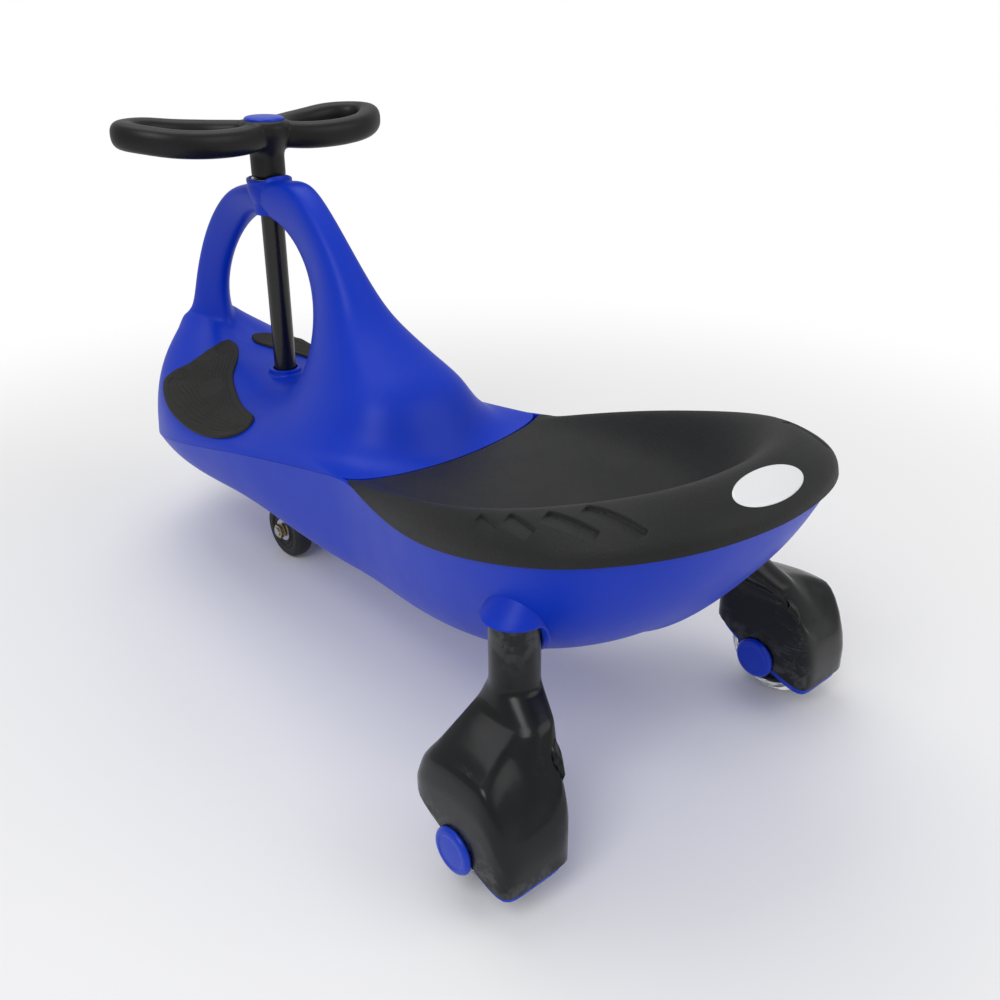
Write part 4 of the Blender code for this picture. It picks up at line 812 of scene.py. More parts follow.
class EdgeWear(Effect):
    """Rubbed edges, where a surface turns sharply outwards."""

    name = "edge_wear"
    inputs = {"Vector": "NodeSocketVector", "Scale": "NodeSocketFloat", "Amount": "NodeSocketFloat"}
    outputs = {"Mask": "NodeSocketFloat"}

    def build(self, bench: NodeBench, given: Outputs) -> dict[str, Plug]:
        """Keep the pointed places and break them up with noise.

        Args:
            bench: The group's nodes.
            given: The group's inputs.

        Returns:
            The group's outputs by name.
        """
        shape = bench.add("ShaderNodeNewGeometry")
        pointed = bench.spread(shape.outputs["Pointiness"], 0.52, 0.60)
        patch = bench.spread(bench.noise(given["Vector"], given["Scale"], 4.0, 0.6), 0.42, 0.62)
        both = bench.maths("MULTIPLY", pointed, patch)
        return {"Mask": bench.maths("MULTIPLY", both, given["Amount"], clamp=True)}


FINE_GRAIN = FineGrain()
SCUFFS = Scuffs()
DUST_AND_SHEEN = Dust()
COLOUR_DRIFT = ColourDrift()
EDGE_WEAR = EdgeWear()


# Finishes


@dataclass(frozen=True)
class Finish:
    """A surface finish, made into a material the first time it is used."""

    name: str
    colour: Colour
    roughness: float
    grain_scale: float = 900.0
    grain_depth: float = 0.00002
    cells: float = 0.0
    drift: float = 0.10
    drift_scale: float = 9.0
    scuff: float = 0.3
    scuff_scale: float = 14.0
    scuff_colour: Colour = (0.35, 0.38, 0.45)
    dust: float = 0.05
    dust_colour: Colour = (0.30, 0.29, 0.27)
    wear: float = 0.0
    film_scale: float = 24.0
    wear_scale: float = 120.0
    gloss_drift: float = 0.16
    metallic: float = 0.0
    specular: float = 0.3
    coat: float = 0.0
    coat_roughness: float = 0.1

    def material(self) -> bpy.types.Material:
        """Return the finish's material, and build it the first time.

        Returns:
            The material.
        """
        found = bpy.data.materials.get(self.name)
        if found is not None:
            return found
        made = bpy.data.materials.new(self.name)
        made.use_nodes = True
        bench = NodeBench(made.node_tree)
        shader = made.node_tree.nodes["Principled BSDF"]
        shader.inputs["Metallic"].default_value = self.metallic
        shader.inputs["Specular IOR Level"].default_value = self.specular
        shader.inputs["Coat Weight"].default_value = self.coat
        shader.inputs["Coat Roughness"].default_value = self.coat_roughness
        self.lay(bench, shader)
        return made

    def lay(self, bench: NodeBench, shader: Node) -> None:
        """Lay the colour, the roughness and the relief over the surface.

        Args:
            bench: The material's nodes.
            shader: The material's shader.
        """
        place = bench.add("ShaderNodeTexCoord").outputs["Object"]
        grain = FINE_GRAIN.use(bench, vector=place, scale=self.grain_scale, cells=self.cells)
        marks = SCUFFS.use(bench, vector=place, scale=self.scuff_scale, amount=self.scuff)
        # Painted sheen: this pale layer lightens faces that look up, partly for settled dirt and partly for
        # light falling on the tops of dark parts.
        dust_sheen_mask = DUST_AND_SHEEN.use(bench, vector=place, scale=self.film_scale, amount=self.dust)
        rubbed = EDGE_WEAR.use(bench, vector=place, scale=self.wear_scale, amount=self.wear)
        base = COLOUR_DRIFT.use(
            bench, vector=place, color=(*self.colour, 1.0), scale=self.drift_scale, spread=self.drift
        )
        worn = bench.mixed(bench.maths("MAXIMUM", marks, rubbed), base, self.scuff_colour)
        bench.feed(shader.inputs["Base Color"], bench.mixed(dust_sheen_mask, worn, self.dust_colour))
        drifted = bench.noise(place, self.drift_scale * 3.0, 4.0, 0.6)
        drift = bench.maths("MULTIPLY", bench.maths("SUBTRACT", drifted, 0.5), self.gloss_drift)
        rough = bench.maths("ADD", drift, self.roughness)
        rough = bench.maths("ADD", rough, bench.maths("MULTIPLY", marks, 0.25))
        rough = bench.maths("ADD", rough, bench.maths("MULTIPLY", dust_sheen_mask, 0.5), clamp=True)
        bench.feed(shader.inputs["Roughness"], rough)
        bump = bench.add("ShaderNodeBump")
        bump.inputs["Distance"].default_value = self.grain_depth
        bench.feed(bump.inputs["Height"], bench.maths("SUBTRACT", grain, bench.maths("MULTIPLY", marks, 0.8)))
        bench.feed(shader.inputs["Normal"], bump.outputs["Normal"])


@dataclass(frozen=True)
class ClearFinish(Finish):
    """A clear or milky moulded plastic."""

    ior: float = 1.45
    transmission: float = 0.85

    def lay(self, bench: NodeBench, shader: Node) -> None:
        """Lay the finish and let light through it.

        Args:
            bench: The material's nodes.
            shader: The material's shader.
        """
        super().lay(bench, shader)
        shader.inputs["Transmission Weight"].default_value = self.transmission
        shader.inputs["IOR"].default_value = self.ior


BLUE_SHELL = Finish(
    "blue_shell_plastic", (0.0004, 0.032, 0.50), 0.40, grain_scale=420.0, grain_depth=0.00006,
    scuff=0.14, scuff_colour=(0.03, 0.10, 0.62), dust=0.008, specular=0.22,
)
BLUE_TRIM = Finish(
    "blue_trim_plastic", (0.0006, 0.036, 0.50), 0.30, grain_scale=600.0, grain_depth=0.00003,
    scuff=0.22, scuff_scale=30.0, scuff_colour=(0.08, 0.18, 0.8), dust=0.01, wear=0.2,
)
# The seat's pale layer on faces that look up is partly settled dirt and partly a painted sheen on its pan.
SEAT_GRAIN = Finish(
    "grained_seat_plastic", (0.0085, 0.009, 0.0095), 0.50, grain_scale=1500.0, grain_depth=0.00028,
    cells=0.8, drift=0.35, scuff=0.12, scuff_colour=(0.07, 0.07, 0.075), dust=0.06,
    dust_colour=(0.10, 0.10, 0.095), wear=0.2,
)
PAD_RUBBER = Finish(
    "foot_pad_rubber", (0.013, 0.013, 0.0115), 0.62, grain_scale=1300.0, grain_depth=0.00008,
    cells=0.3, drift=0.30, scuff=0.05, dust=0.07, dust_colour=(0.13, 0.13, 0.11),
)
HOOD_GLOSS = Finish(
    "glossy_black_plastic", (0.003, 0.0034, 0.004), 0.24, grain_scale=160.0, grain_depth=0.00006,
    drift=0.25, scuff=0.65, scuff_scale=22.0, scuff_colour=(0.16, 0.17, 0.18), dust=0.035,
    dust_colour=(0.12, 0.14, 0.17), wear=0.25,
)
BADGE_GLOSS = Finish(
    "white_badge_film", (0.80, 0.81, 0.82), 0.22, grain_scale=500.0,
    drift=0.04, scuff=0.25, scuff_scale=40.0, scuff_colour=(0.55, 0.56, 0.58), dust=0.03, coat=0.4,
)
BAR_SATIN = Finish(
    "satin_black_plastic", (0.006, 0.006, 0.0062), 0.38, grain_scale=700.0, grain_depth=0.00006,
    cells=0.2, drift=0.25, scuff=0.25, scuff_colour=(0.10, 0.10, 0.10), dust=0.02,
    dust_colour=(0.15, 0.15, 0.14), wear=0.3,
)
TUBE_ENAMEL = Finish(
    "black_enamel", (0.004, 0.004, 0.004), 0.30, grain_scale=380.0, grain_depth=0.00003,
    scuff=0.35, scuff_scale=30.0, scuff_colour=(0.08, 0.08, 0.08), dust=0.01, coat=0.3,
)
CORE_PLASTIC = Finish(
    "wheel_core_plastic", (0.012, 0.012, 0.013), 0.45, scuff=0.2, dust=0.04, wear=0.2,
)
TYRE_RUBBER = Finish(
    "front_tyre_plastic", (0.020, 0.020, 0.020), 0.55, grain_scale=800.0, grain_depth=0.00010,
    cells=0.4, scuff=0.5, scuff_scale=40.0, scuff_colour=(0.11, 0.11, 0.10), dust=0.10, wear=0.4,
)
CLEAR_TYRE = ClearFinish(
    "clear_tyre_plastic", (0.92, 0.94, 0.95), 0.12, grain_scale=300.0, grain_depth=0.00004,
    drift=0.03, scuff=0.35, scuff_scale=40.0, scuff_colour=(0.75, 0.76, 0.76), dust=0.05,
    dust_colour=(0.60, 0.58, 0.54),
)
BRIGHT_STEEL = Finish(
    "bright_steel", (0.58, 0.58, 0.59), 0.24, grain_scale=1600.0, grain_depth=0.00001,
    drift=0.12, scuff_scale=60.0, scuff_colour=(0.35, 0.35, 0.35), dust=0.04, metallic=1.0,
)
YELLOW_ZINC = Finish(
    "yellow_zinc", (0.62, 0.50, 0.25), 0.32, grain_scale=1600.0, grain_depth=0.00001,
    drift=0.25, drift_scale=60.0, scuff_scale=60.0, scuff_colour=(0.40, 0.36, 0.30), metallic=1.0,
)
NATURAL_NYLON = Finish(
    "natural_nylon", (0.66, 0.66, 0.62), 0.42, scuff=0.15, scuff_colour=(0.40, 0.40, 0.38), dust=0.05,
)


# The deck, the saddle and the arch


@dataclass(frozen=True)
class SurfaceBoss:
    """A round boss that grows out of a moulded surface through a fillet."""

    name: str
    place: Matrix
    radius: float
    rim: float
    bore: float
    depth: float
    growth: float = 1.0
    fillet: float = 0.0030
    edge: float = 0.0008
    search: float = 0.08
    support: float = 0.03
    steps: int = TURN_STEPS
    fillet_rings: int = 6
    sink: float = 0.0004

    def surface(self, tree: BVHTree, angle: float, reach: float, otherwise: float) -> float:
        """Return the surface's height along the boss's axis at a place round it.

        Args:
            tree: The surface.
            angle: The place's angle about the axis.
            reach: Its distance from the axis.
            otherwise: The height where there is no surface.

        Returns:
            The height, in the boss's frame.
        """
        above = self.rim + self.growth * self.search
        start = self.place @ Vector((reach * math.cos(angle), reach * math.sin(angle), above))
        way = self.place.to_3x3() @ Vector((0.0, 0.0, -self.growth))
        hit = tree.ray_cast(start, way, 2 * self.search)[0]
        return otherwise if hit is None else (self.place.inverted() @ hit).z

    def mesh(self, tree: BVHTree) -> Mesh:
        """Return the boss, from its fillet on the surface to the end of its bore.

        Args:
            tree: The surface that it grows out of.

        Returns:
            The boss as one sheet, whose two ends lie inside the surface's wall.
        """
        angles = [2 * math.pi * step / self.steps for step in range(self.steps)]
        rows: list[Section] = []
        for k in range(self.fillet_rings + 1):
            share = 1 - k / self.fillet_rings
            reach = self.radius + self.fillet * share
            lift = self.fillet * (1 - math.sqrt(1 - (1 - share) ** 2))
            sink = self.sink if k == 0 else 0.0
            ring = []
            for angle in angles:
                height = self.surface(tree, angle, reach, self.rim - self.growth * self.support)
                below = self.growth * (self.rim - height)
                held = float(eased(np.array((self.support - below) / (0.25 * self.support))))
                flared = reach * held + (self.radius - self.sink) * (1 - held)
                ring.append((flared, self.rim - self.growth * (min(below, self.support) - lift + sink)))
            rows.append(ring)
        outline = [
            (self.radius, self.rim - self.growth * 2 * self.edge),
            (self.radius, self.rim),
            (self.bore, self.rim),
            (self.bore, self.rim - self.growth * self.depth),
        ]
        rows += [[point] * self.steps for point in rounded(outline, self.edge)]
        rings = []
        for row in rows:
            turn = zip(row, angles)
            rings.append([self.place @ Vector((r * math.cos(a), r * math.sin(a), z)) for (r, z), a in turn])
        return rows_mesh(self.name, rings, around=True)


ARCH_RIBS = [
    [(103, 0, 204), (105, 6, 205), (122, 16, 208), (144, 21, 208), (152, 0, 210)],
    [(103, 0, 230), (105, 6, 231), (120, 13, 236), (134, 18, 239), (138, 0, 241)],
    [(90, 0, 259), (92, 6, 260), (104, 12, 266), (116, 17.5, 271), (119, 0, 273)],
    [(66, 0, 286), (68, 6, 288), (79, 12, 296), (91, 17, 303), (94, 0, 305)],
    [(40, 0, 307), (41, 7, 308), (48, 13, 319), (57, 17, 330), (59, 0, 332)],
    [(20, 0, 316), (20, 9, 317), (22, 15, 328), (28, 18, 341), (28, 0, 342)],
    [(3, 0, 318), (3, 10, 319), (2, 15, 330), (0, 18, 343), (0, 0, 344)],
    [(-15, 0, 316), (-15, 9, 317), (-19, 14, 329), (-28, 17, 348), (-28, 0, 349)],
    [(-34, 0, 308), (-35, 7, 309), (-43, 12, 324), (-56, 15, 351), (-57, 0, 352)],
    [(-50, 0, 294), (-51, 6, 295), (-63, 11, 309), (-80, 15, 333), (-82, 0, 335)],
    [(-61, 0, 277), (-62, 6, 278), (-79, 12, 291), (-103, 16, 309), (-106, 0, 311)],
    [(-68, 0, 256), (-69, 7, 256), (-90, 17, 265), (-124, 20, 283), (-128, 0, 286)],
    [(-69, 0, 233), (-70, 9, 232), (-99, 28, 238), (-143, 28, 257), (-147, 0, 262)],
    [(-66, 0, 213), (-68, 13, 211), (-99, 38, 213), (-163, 41, 241), (-170, 0, 244)],
    [(-60, 0, 198), (-63, 19, 195), (-98, 50, 195), (-186, 52, 226), (-197, 0, 227)],
    [(-53, 0, 189), (-58, 25, 186), (-98, 60, 183), (-207, 63, 213), (-226, 0, 210)],
]
SADDLE_RIBS = [
    [(-46, 0, 184), (-52, 29, 181), (-97, 67, 176), (-214, 73, 199)],
    [(-39, 0, 181.5), (-46, 32, 178), (-93, 73, 170), (-206, 80, 188)],
    [(-33, 0, 180), (-39, 35, 175), (-86, 79, 165), (-184, 84, 178)],
]
SEAT_FRONT = [(-247, 0, 166.5), (-246, 38, 168), (-243, 74, 171.5)]
DECK_RIBS = [
    [(-28, 0, 179), (-32, 38, 173), (-79, 84, 160), (-163, 90, 170)],
    [(-23, 0, 178.5), (-26, 40, 171), (-70, 86, 157), (-140, 93, 162.5)],
    [(-18, 0, 178), (-20, 42, 170), (-60, 88, 153), (-117, 94.5, 158)],
    [(-12, 0, 178), (-12, 44, 169), (-45, 89, 151), (-86, 96, 153)],
    [(-4, 0, 178), (-4, 45, 169), (-25, 90, 150), (-53, 98, 147.5)],
    [(5, 0, 178), (6, 45, 170), (0, 88, 151), (-15, 99, 144)],
    [(16, 0, 178), (18, 43, 172), (22, 84, 155), (23, 99, 141)],
    [(30, 0, 178.5), (33, 40, 175), (46, 77, 163), (63, 95, 145)],
    [(46, 0, 179), (48, 35, 179), (70, 67, 174), (104, 85, 154)],
    [(62, 0, 180), (64, 28, 184), (88, 52, 185), (134, 69, 172)],
    [(76, 0, 182.5), (79, 20, 189), (104, 36, 195), (152, 52, 188)],
    [(88, 0, 187), (92, 13, 195), (114, 26, 203), (162, 37, 198)],
]
NOSE_RIB = [(98, 0, 194), (101, 8, 200), (121, 20, 208), (161, 28, 207), (175, 0, 172)]
DECK_EDGE = [
    (171, 0, 100), (165, 28, 100), (149, 58, 101), (115, 84, 106), (70, 98, 116), (20, 103, 127),
    (-30, 101, 137), (-78, 99, 147), (-124, 96.5, 155.5), (-172, 95, 164.5), (-210, 94.5, 171),
    (-240, 96, 177.5),
]


@dataclass
class UpperShell:
    """The blue deck with its saddle and the arch that holds the column's collar."""

    wall: float = 0.0026
    levels: int = 4
    tube_radius: float = 0.0097
    hole_radius: float = 0.0142
    collar_radius: float = 0.0191
    collar_top: float = 0.3490
    collar_bore: float = 0.0165
    collar_depth: float = 0.0170
    neck: tuple[Pair, ...] = (
        (0.0130, 0.3192), (0.0143, 0.3192), (0.0149, 0.3290), (0.0178, 0.3350), (0.0188, 0.3400),
        (0.0188, 0.3450), (0.0168, 0.3450), (0.0168, 0.3420), (0.0130, 0.3420),
    )
    neck_edge: float = 0.0020
    boss_radius: float = 0.0146
    boss_height: float = 0.0040
    below_arch: float = 0.2150
    tree: BVHTree = field(init=False)

    def rows(self) -> list[Ring]:
        """Return the ribs of the left half, from the arch's front round to the nose.

        Returns:
            The control points.
        """
        rows = [[drawn(point) for point in rib] for rib in ARCH_RIBS]
        for rib, end in zip(SADDLE_RIBS, SEAT_FRONT):
            rows.append([drawn(point) for point in [*rib, end]])
        for rib, end in zip(DECK_RIBS, reversed(DECK_EDGE)):
            rows.append([drawn(point) for point in [*rib, end]])
        rows.append([drawn(point) for point in NOSE_RIB])
        return rows

    def column_distance(self, point: Vector) -> float:
        """Return how far a point is from the steering line."""
        away = point - STEERING.foot
        return (away - STEERING.axis * away.dot(STEERING.axis)).length

    def bosses(self) -> list[Mesh]:
        """Return the collar on the arch, its sleeve below and the boss round the tube on the deck.

        Returns:
            The three forms.
        """
        line = STEERING.matrix
        top = STEERING.along(self.collar_top)
        collar = SurfaceBoss(
            "collar", line, self.collar_radius, top, self.collar_bore, self.collar_depth,
            fillet=0.0045, edge=0.0014, support=0.0090,
        )
        boss = SurfaceBoss(
            "deck_boss", line, self.boss_radius, self.boss_height, self.tube_radius + 0.0012, 0.006,
            fillet=0.0020, edge=0.0006,
        )
        neck = [(radius, STEERING.along(height)) for radius, height in self.neck]
        under = turned("collar_neck", rounded_ring(neck, self.neck_edge), line, closed=True)
        return [collar.mesh(self.tree), boss.mesh(self.tree), under]

    def build(self) -> None:
        """Build the shell, open it round the column and finish it."""
        made = smooth_half("upper_shell_moulding", self.rows(), True, self.levels)
        self.tree = tree_of(made.data)
        bosses = self.bosses()
        drop_faces(made.data, lambda middle: self.column_distance(middle) < self.hole_radius)
        thicken(made, self.wall)
        made.data = joined("upper_shell_moulding", [made.data, *bosses])
        shade(made, MOULDING_ANGLE)
        finish_piece(made, Body.CAR, BLUE_SHELL, "upper_shell")


# The patches that lie on the mouldings


@dataclass
class Patch:
    """A thin piece that lies on a moulded surface inside an outline seen from above."""

    name: str
    outline: list[Vector]
    centre: Vector
    start: float
    rings: int
    gap: float = 0.0003

    def distances(self, points: np.ndarray) -> np.ndarray:
        """Return how far points lie from the outline.

        Args:
            points: Spots seen from above.

        Returns:
            Their distances.
        """
        ends = np.array([(p.x, p.y) for p in self.outline])
        ways = np.roll(ends, -1, axis=0) - ends
        away = points[:, None, :] - ends[None, :, :]
        share = np.clip((away * ways).sum(-1) / (ways * ways).sum(-1), 0.0, 1.0)
        return np.linalg.norm(away - share[..., None] * ways, axis=-1).min(1)

    def on_surface(self, tree: BVHTree, spot: Sequence[float], lift: float) -> Vector:
        """Return a place a lift above the surface, over a spot seen from above.

        Args:
            tree: The surface.
            spot: The spot.
            lift: How far above the surface the place is.

        Returns:
            The place.
        """
        hit, normal, _, _ = tree.ray_cast(Vector((spot[0], spot[1], self.start)), DOWN)
        normal = normal if normal.z > 0 else -normal
        return hit + normal * lift

    def mesh(self, tree: BVHTree, relief: Relief) -> Mesh:
        """Build the patch on a surface.

        Args:
            tree: The surface below.
            relief: Gives the top's height from the spots and their distances to the outline.

        Returns:
            The closed patch.
        """
        shares = [1 - k / self.rings for k in range(self.rings)]
        edge = np.array([(p.x, p.y) for p in self.outline])
        middle = np.array((self.centre.x, self.centre.y))
        spots = np.concatenate([middle + (edge - middle) * share for share in shares])
        heights = relief(spots, self.distances(spots))
        count = len(self.outline)
        rows: list[Ring] = []
        for k in range(self.rings):
            stretch = range(k * count, (k + 1) * count)
            rows.append([self.on_surface(tree, spots[i], heights[i]) for i in stretch])
        rows.append([self.on_surface(tree, middle, float(relief(middle[None], np.array([1.0]))[0]))])
        halfway = [middle + (place - middle) * 0.5 for place in edge]
        base = [
            [self.on_surface(tree, middle, self.gap)],
            [self.on_surface(tree, spot, self.gap) for spot in halfway],
            [self.on_surface(tree, spot, self.gap) for spot in spots[:count]],
        ]
        return rows_mesh(self.name, base + rows, around=True)


@dataclass
class FootPads:
    """The two rubber pads, each with five toe marks and ridges that follow its outline."""

    thickness: float = 0.0026
    edge_round: float = 0.0012
    border: float = 0.0042
    pitch: float = 0.0033
    ridge: float = 0.00062
    toe_depth: float = 0.0008
    least: float = 0.0006
    rings: int = 120
    line_steps: int = 9
    wave: float = 0.0007
    wave_pitch: Pair = (5.5, 4.5)
    front_end: float = 76
    front_slant: float = 0.25
    smooth_spot: Triple = (26, 62, 11)
    middle: Pair = (40, 68)
    outline: list[Pair] = field(default_factory=lambda: [
        (81, 12), (70, 10), (49, 22), (29, 38), (11, 47), (-21, 58), (-55, 65.5), (-66, 74), (-64, 85),
        (-53, 93), (-33, 97), (5, 97.5), (49, 93), (79, 85), (92, 77), (87, 70), (76, 57), (77, 35), (81, 20),
    ])
    toes: list[tuple[float, float, float, float]] = field(default_factory=lambda: [
        (68, 25, 9, 7), (70, 44, 5.5, 4.5), (70, 57, 5, 4), (72, 67, 5, 3.5), (77, 76, 5, 3),
    ])

    def relief(self, sign: float) -> Relief:
        """Return the rule that gives a pad's height on the car's left (1.0) or right (-1.0).

        Args:
            sign: The side's sign along Y.

        Returns:
            The rule, which takes spots and their distances to the edge.
        """

        def height(spots: np.ndarray, edge: np.ndarray) -> np.ndarray:
            """Return the pad's height.

            Args:
                spots: Spots seen from above.
                edge: Their distances to the pad's edge.

            Returns:
                The height above the deck at each spot.
            """
            x = (spots[:, 0] - STEERING.foot.x) / MM
            y = spots[:, 1] * sign / MM
            rim = np.sqrt(np.clip(1 - (1 - np.clip(edge / self.edge_round, 0, 1)) ** 2, 0, 1))
            top = self.thickness * rim
            wave = self.wave * np.sin(x / self.wave_pitch[0]) * np.sin(y / self.wave_pitch[1])
            ridges = np.cos(2 * np.pi * (edge + wave - self.border) / self.pitch) - 1
            spot_x, spot_y, spot_r = self.smooth_spot
            clear = eased((np.hypot(x - spot_x, y - spot_y) - spot_r) / 2.0)
            front = eased((self.front_end - x - self.front_slant * (self.front_end - y)) / 4.0)
            inside = eased((edge - self.border + 0.0004) / 0.0008)
            top = top + self.ridge * 0.5 * ridges * clear * inside * front
            for toe_x, toe_y, half_x, half_y in self.toes:
                away = np.hypot((x - toe_x) / half_x, (y - toe_y) / half_y)
                top = top - self.toe_depth * (1 - eased((away - 0.7) / 0.5))
            return np.maximum(top, self.least)

        return height

    def build(self, shell: UpperShell) -> None:
        """Lay a pad on each side of the deck.

        Args:
            shell: The shell, once it is built.
        """
        for side in Side:
            corners = [drawn((x, side.value * y, 0)) for x, y in self.outline]
            centre = drawn((self.middle[0], side.value * self.middle[1], 0))
            name = f"foot_pad_{side.word}_rubber"
            outline = through(corners, self.line_steps, True)
            patch = Patch(name, outline, centre, shell.below_arch, self.rings)
            made = new_piece(name, patch.mesh(shell.tree, self.relief(side.value)))
            shade(made, THIN_ANGLE)
            finish_piece(made, Body.CAR, PAD_RUBBER, f"foot_pad_{side.word}")


# The underbody


@dataclass
class LegSocket:
    """The leaning socket that stands out of the hull round a leg's neck."""

    x: float = -0.4380
    y: float = 0.1120
    radius: float = 0.0212
    bore: float = 0.0161
    lip: float = 0.0025
    outer_height: float = 0.1670
    top_height: float = 0.1860
    top_radius: float = 0.0150
    lean: float = 0.0130
    edge: float = 0.0016
    skin_margin: float = 0.0010
    skin_above: float = 0.0040
    smoothing: int = 12
    steps: int = TURN_STEPS

    def rim(self, tree: BVHTree, sign: float) -> list[float]:
        """Return the height of the rim round the neck, which follows the hull's flank.

        Args:
            tree: The hull's surface.
            sign: The side's sign along Y.

        Returns:
            The heights round the rim.
        """
        heights = []
        for step in range(self.steps):
            angle = 2 * math.pi * step / self.steps
            spot = Vector((self.radius * math.cos(angle), self.radius * math.sin(angle), 0.0))
            spot += Vector((STEERING.foot.x + self.x, sign * self.y, 0.0))
            hit = tree.ray_cast(spot, UP)[0]
            heights.append(self.outer_height if hit is None else min(hit.z, self.outer_height))
        rim = np.array(heights)
        for _ in range(self.smoothing):
            rim = (np.roll(rim, 1) + 2 * rim + np.roll(rim, -1)) / 4
        return [float(height) - self.lip for height in rim]

    def mesh(self, tree: BVHTree, side: Side) -> Mesh:
        """Return the socket of one side, set on the hull's surface.

        Args:
            tree: The hull's surface.
            side: The side.

        Returns:
            The socket.
        """
        rim = self.rim(tree, side.value)
        outline = [
            (self.bore, 0.5), (self.bore, 0.0), (self.radius, 0.0), (self.radius, 0.30), (self.radius, 1.0),
        ]
        columns = []
        for step in range(self.steps):
            angle = 2 * math.pi * step / self.steps
            column = []
            for radius, climb in outline:
                reach = radius + (self.top_radius - self.radius) * climb
                height = rim[step] + (self.top_height - rim[step]) * climb
                y = side.value * (self.y - self.lean * climb) + reach * math.sin(angle)
                column.append(Vector((STEERING.foot.x + self.x + reach * math.cos(angle), y, height)))
            columns.append(rounded_line(column, self.edge))
        rings = [list(ring) for ring in zip(*columns)]
        return rows_mesh(f"leg_socket_{side.word}", rings, around=True)


SEAT_EDGE = [
    (-240, 96, 177.5), (-276, 106, 178), (-340, 122, 181), (-400, 130, 193.5), (-451, 129, 207.5),
    (-483, 119, 214.5), (-512, 96, 221), (-530, 65, 223.5), (-538, 33, 224.5), (-541, 0, 224.5),
]
HULL_FULLNESS = [
    2.2, 2.2, 2.2, 2.3, 2.3, 2.4, 2.5, 2.9, 3.6, 4.2, 4.4,
    4.2, 3.5, 2.8, 2.5, 2.3, 2.1, 1.9, 1.7, 1.5, 1.4,
]


@dataclass
class LowerHull:
    """The boat-shaped blue underbody with its leg sockets and screw bosses."""

    wall: float = 0.0028
    levels: int = 4
    lip: float = 0.0020
    keel_front: Pair = (0.1110, 0.0650)
    keel_back: Pair = (-0.4260, 0.0920)
    lip_centre: float = -0.4200
    section_steps: int = 3
    boss_radius: float = 0.0190
    boss_bottom: float = 0.0630
    boss_bore: float = 0.0130
    boss_depth: float = 0.0200
    screw_boss_radius: float = 0.0060
    screw_boss_depth: float = 0.0100
    screw_bore: float = 0.0019
    screw_head: float = 0.0022
    screws: tuple[str, ...] = (
        "shell_screw_1", "shell_screw_2", "shell_screw_3", "seat_screw_1", "seat_screw_2", "seat_screw_3",
    )
    socket: LegSocket = field(default_factory=LegSocket)

    def keel(self, share: float) -> Vector:
        """Return the keel's place for a share of the way from the nose to the tail.

        Args:
            share: The share, from 0 at the nose.

        Returns:
            The place.
        """
        x = self.keel_front[0] + (self.keel_back[0] - self.keel_front[0]) * share
        z = self.keel_front[1] + (self.keel_back[1] - self.keel_front[1]) * share ** 3
        return Vector((STEERING.foot.x + x, 0.0, z))

    def section(self, top: Vector, keel: Vector, fullness: float) -> Ring:
        """Return a row from the hull's edge down to its keel, on a rounded section.

        Args:
            top: The edge's place.
            keel: The keel's place.
            fullness: How square the section is.

        Returns:
            The row.
        """
        row = []
        for step in range(self.section_steps + 1):
            angle = math.pi / 2 * step / self.section_steps
            reach = max(0.0, math.cos(angle)) ** (2 / fullness)
            drop = math.sin(angle) ** (2 / fullness)
            spot = keel.lerp(top, reach)
            row.append(Vector((spot.x, spot.y, top.z + (keel.z - top.z) * drop)))
        return row

    def rows(self) -> list[Ring]:
        """Return the rows of the left half, from its edge to its keel.

        Returns:
            The control points.
        """
        edge = [drawn(point) for point in DECK_EDGE]
        turning = STEERING.foot.x + self.lip_centre
        for point in SEAT_EDGE[1:]:
            place = drawn(point)
            edge.append(place - Vector((place.x - turning, place.y, 0.0)).normalized() * self.lip)
        edge = [point + DOWN * FIT_GAP for point in edge]
        last = len(edge) - 1
        rows = []
        for i, (top, fullness) in enumerate(zip(edge, HULL_FULLNESS)):
            rows.append(self.section(top, self.keel(i / last), fullness))
        for end in (0, -1):
            rows[end] = [Vector((point.x, 0.0, point.z)) for point in rows[end]]
        return rows

    def bosses(self, tree: BVHTree) -> list[Mesh]:
        """Return the column's boss below the hull and a small boss for each screw.

        Args:
            tree: The hull's surface.

        Returns:
            The bosses.
        """
        bottom = STEERING.along(self.boss_bottom)
        column = SurfaceBoss(
            "hull_boss", STEERING.matrix, self.boss_radius, bottom, self.boss_bore, self.boss_depth,
            growth=-1.0, fillet=0.004, edge=0.001,
        )
        made = [column.mesh(tree)]
        for screw in self.screws:
            low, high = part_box(screw)
            place = Matrix.Translation(((low.x + high.x) / 2, (low.y + high.y) / 2, 0.0))
            rim = low.z + self.screw_head + FIT_GAP
            boss = SurfaceBoss(
                f"{screw}_boss", place, self.screw_boss_radius, rim, self.screw_bore, self.screw_boss_depth,
                growth=-1.0, fillet=0.0012, edge=0.0005, steps=40,
            )
            made.append(boss.mesh(tree))
        return made

    def in_socket(self, middle: Vector) -> bool:
        """Return whether a point of the hull's skin lies inside a leg socket's bore.

        Args:
            middle: The point.

        Returns:
            Whether the skin is open there.
        """
        socket = self.socket
        away = Vector((middle.x - STEERING.foot.x - socket.x, abs(middle.y) - socket.y))
        low = middle.z < socket.outer_height + socket.skin_above
        return low and away.length < socket.bore + socket.skin_margin

    def build(self) -> None:
        """Build the hull with its sockets and bosses, and finish it."""
        made = smooth_half("lower_hull_moulding", self.rows(), False, self.levels)
        tree = tree_of(made.data)
        extras = [self.socket.mesh(tree, side) for side in Side]
        extras += self.bosses(tree)
        drop_faces(made.data, self.in_socket)
        thicken(made, self.wall)
        made.data = joined("lower_hull_moulding", [made.data, *extras])
        shade(made, MOULDING_ANGLE)
        finish_piece(made, Body.CAR, BLUE_SHELL, "lower_hull")


# The seat


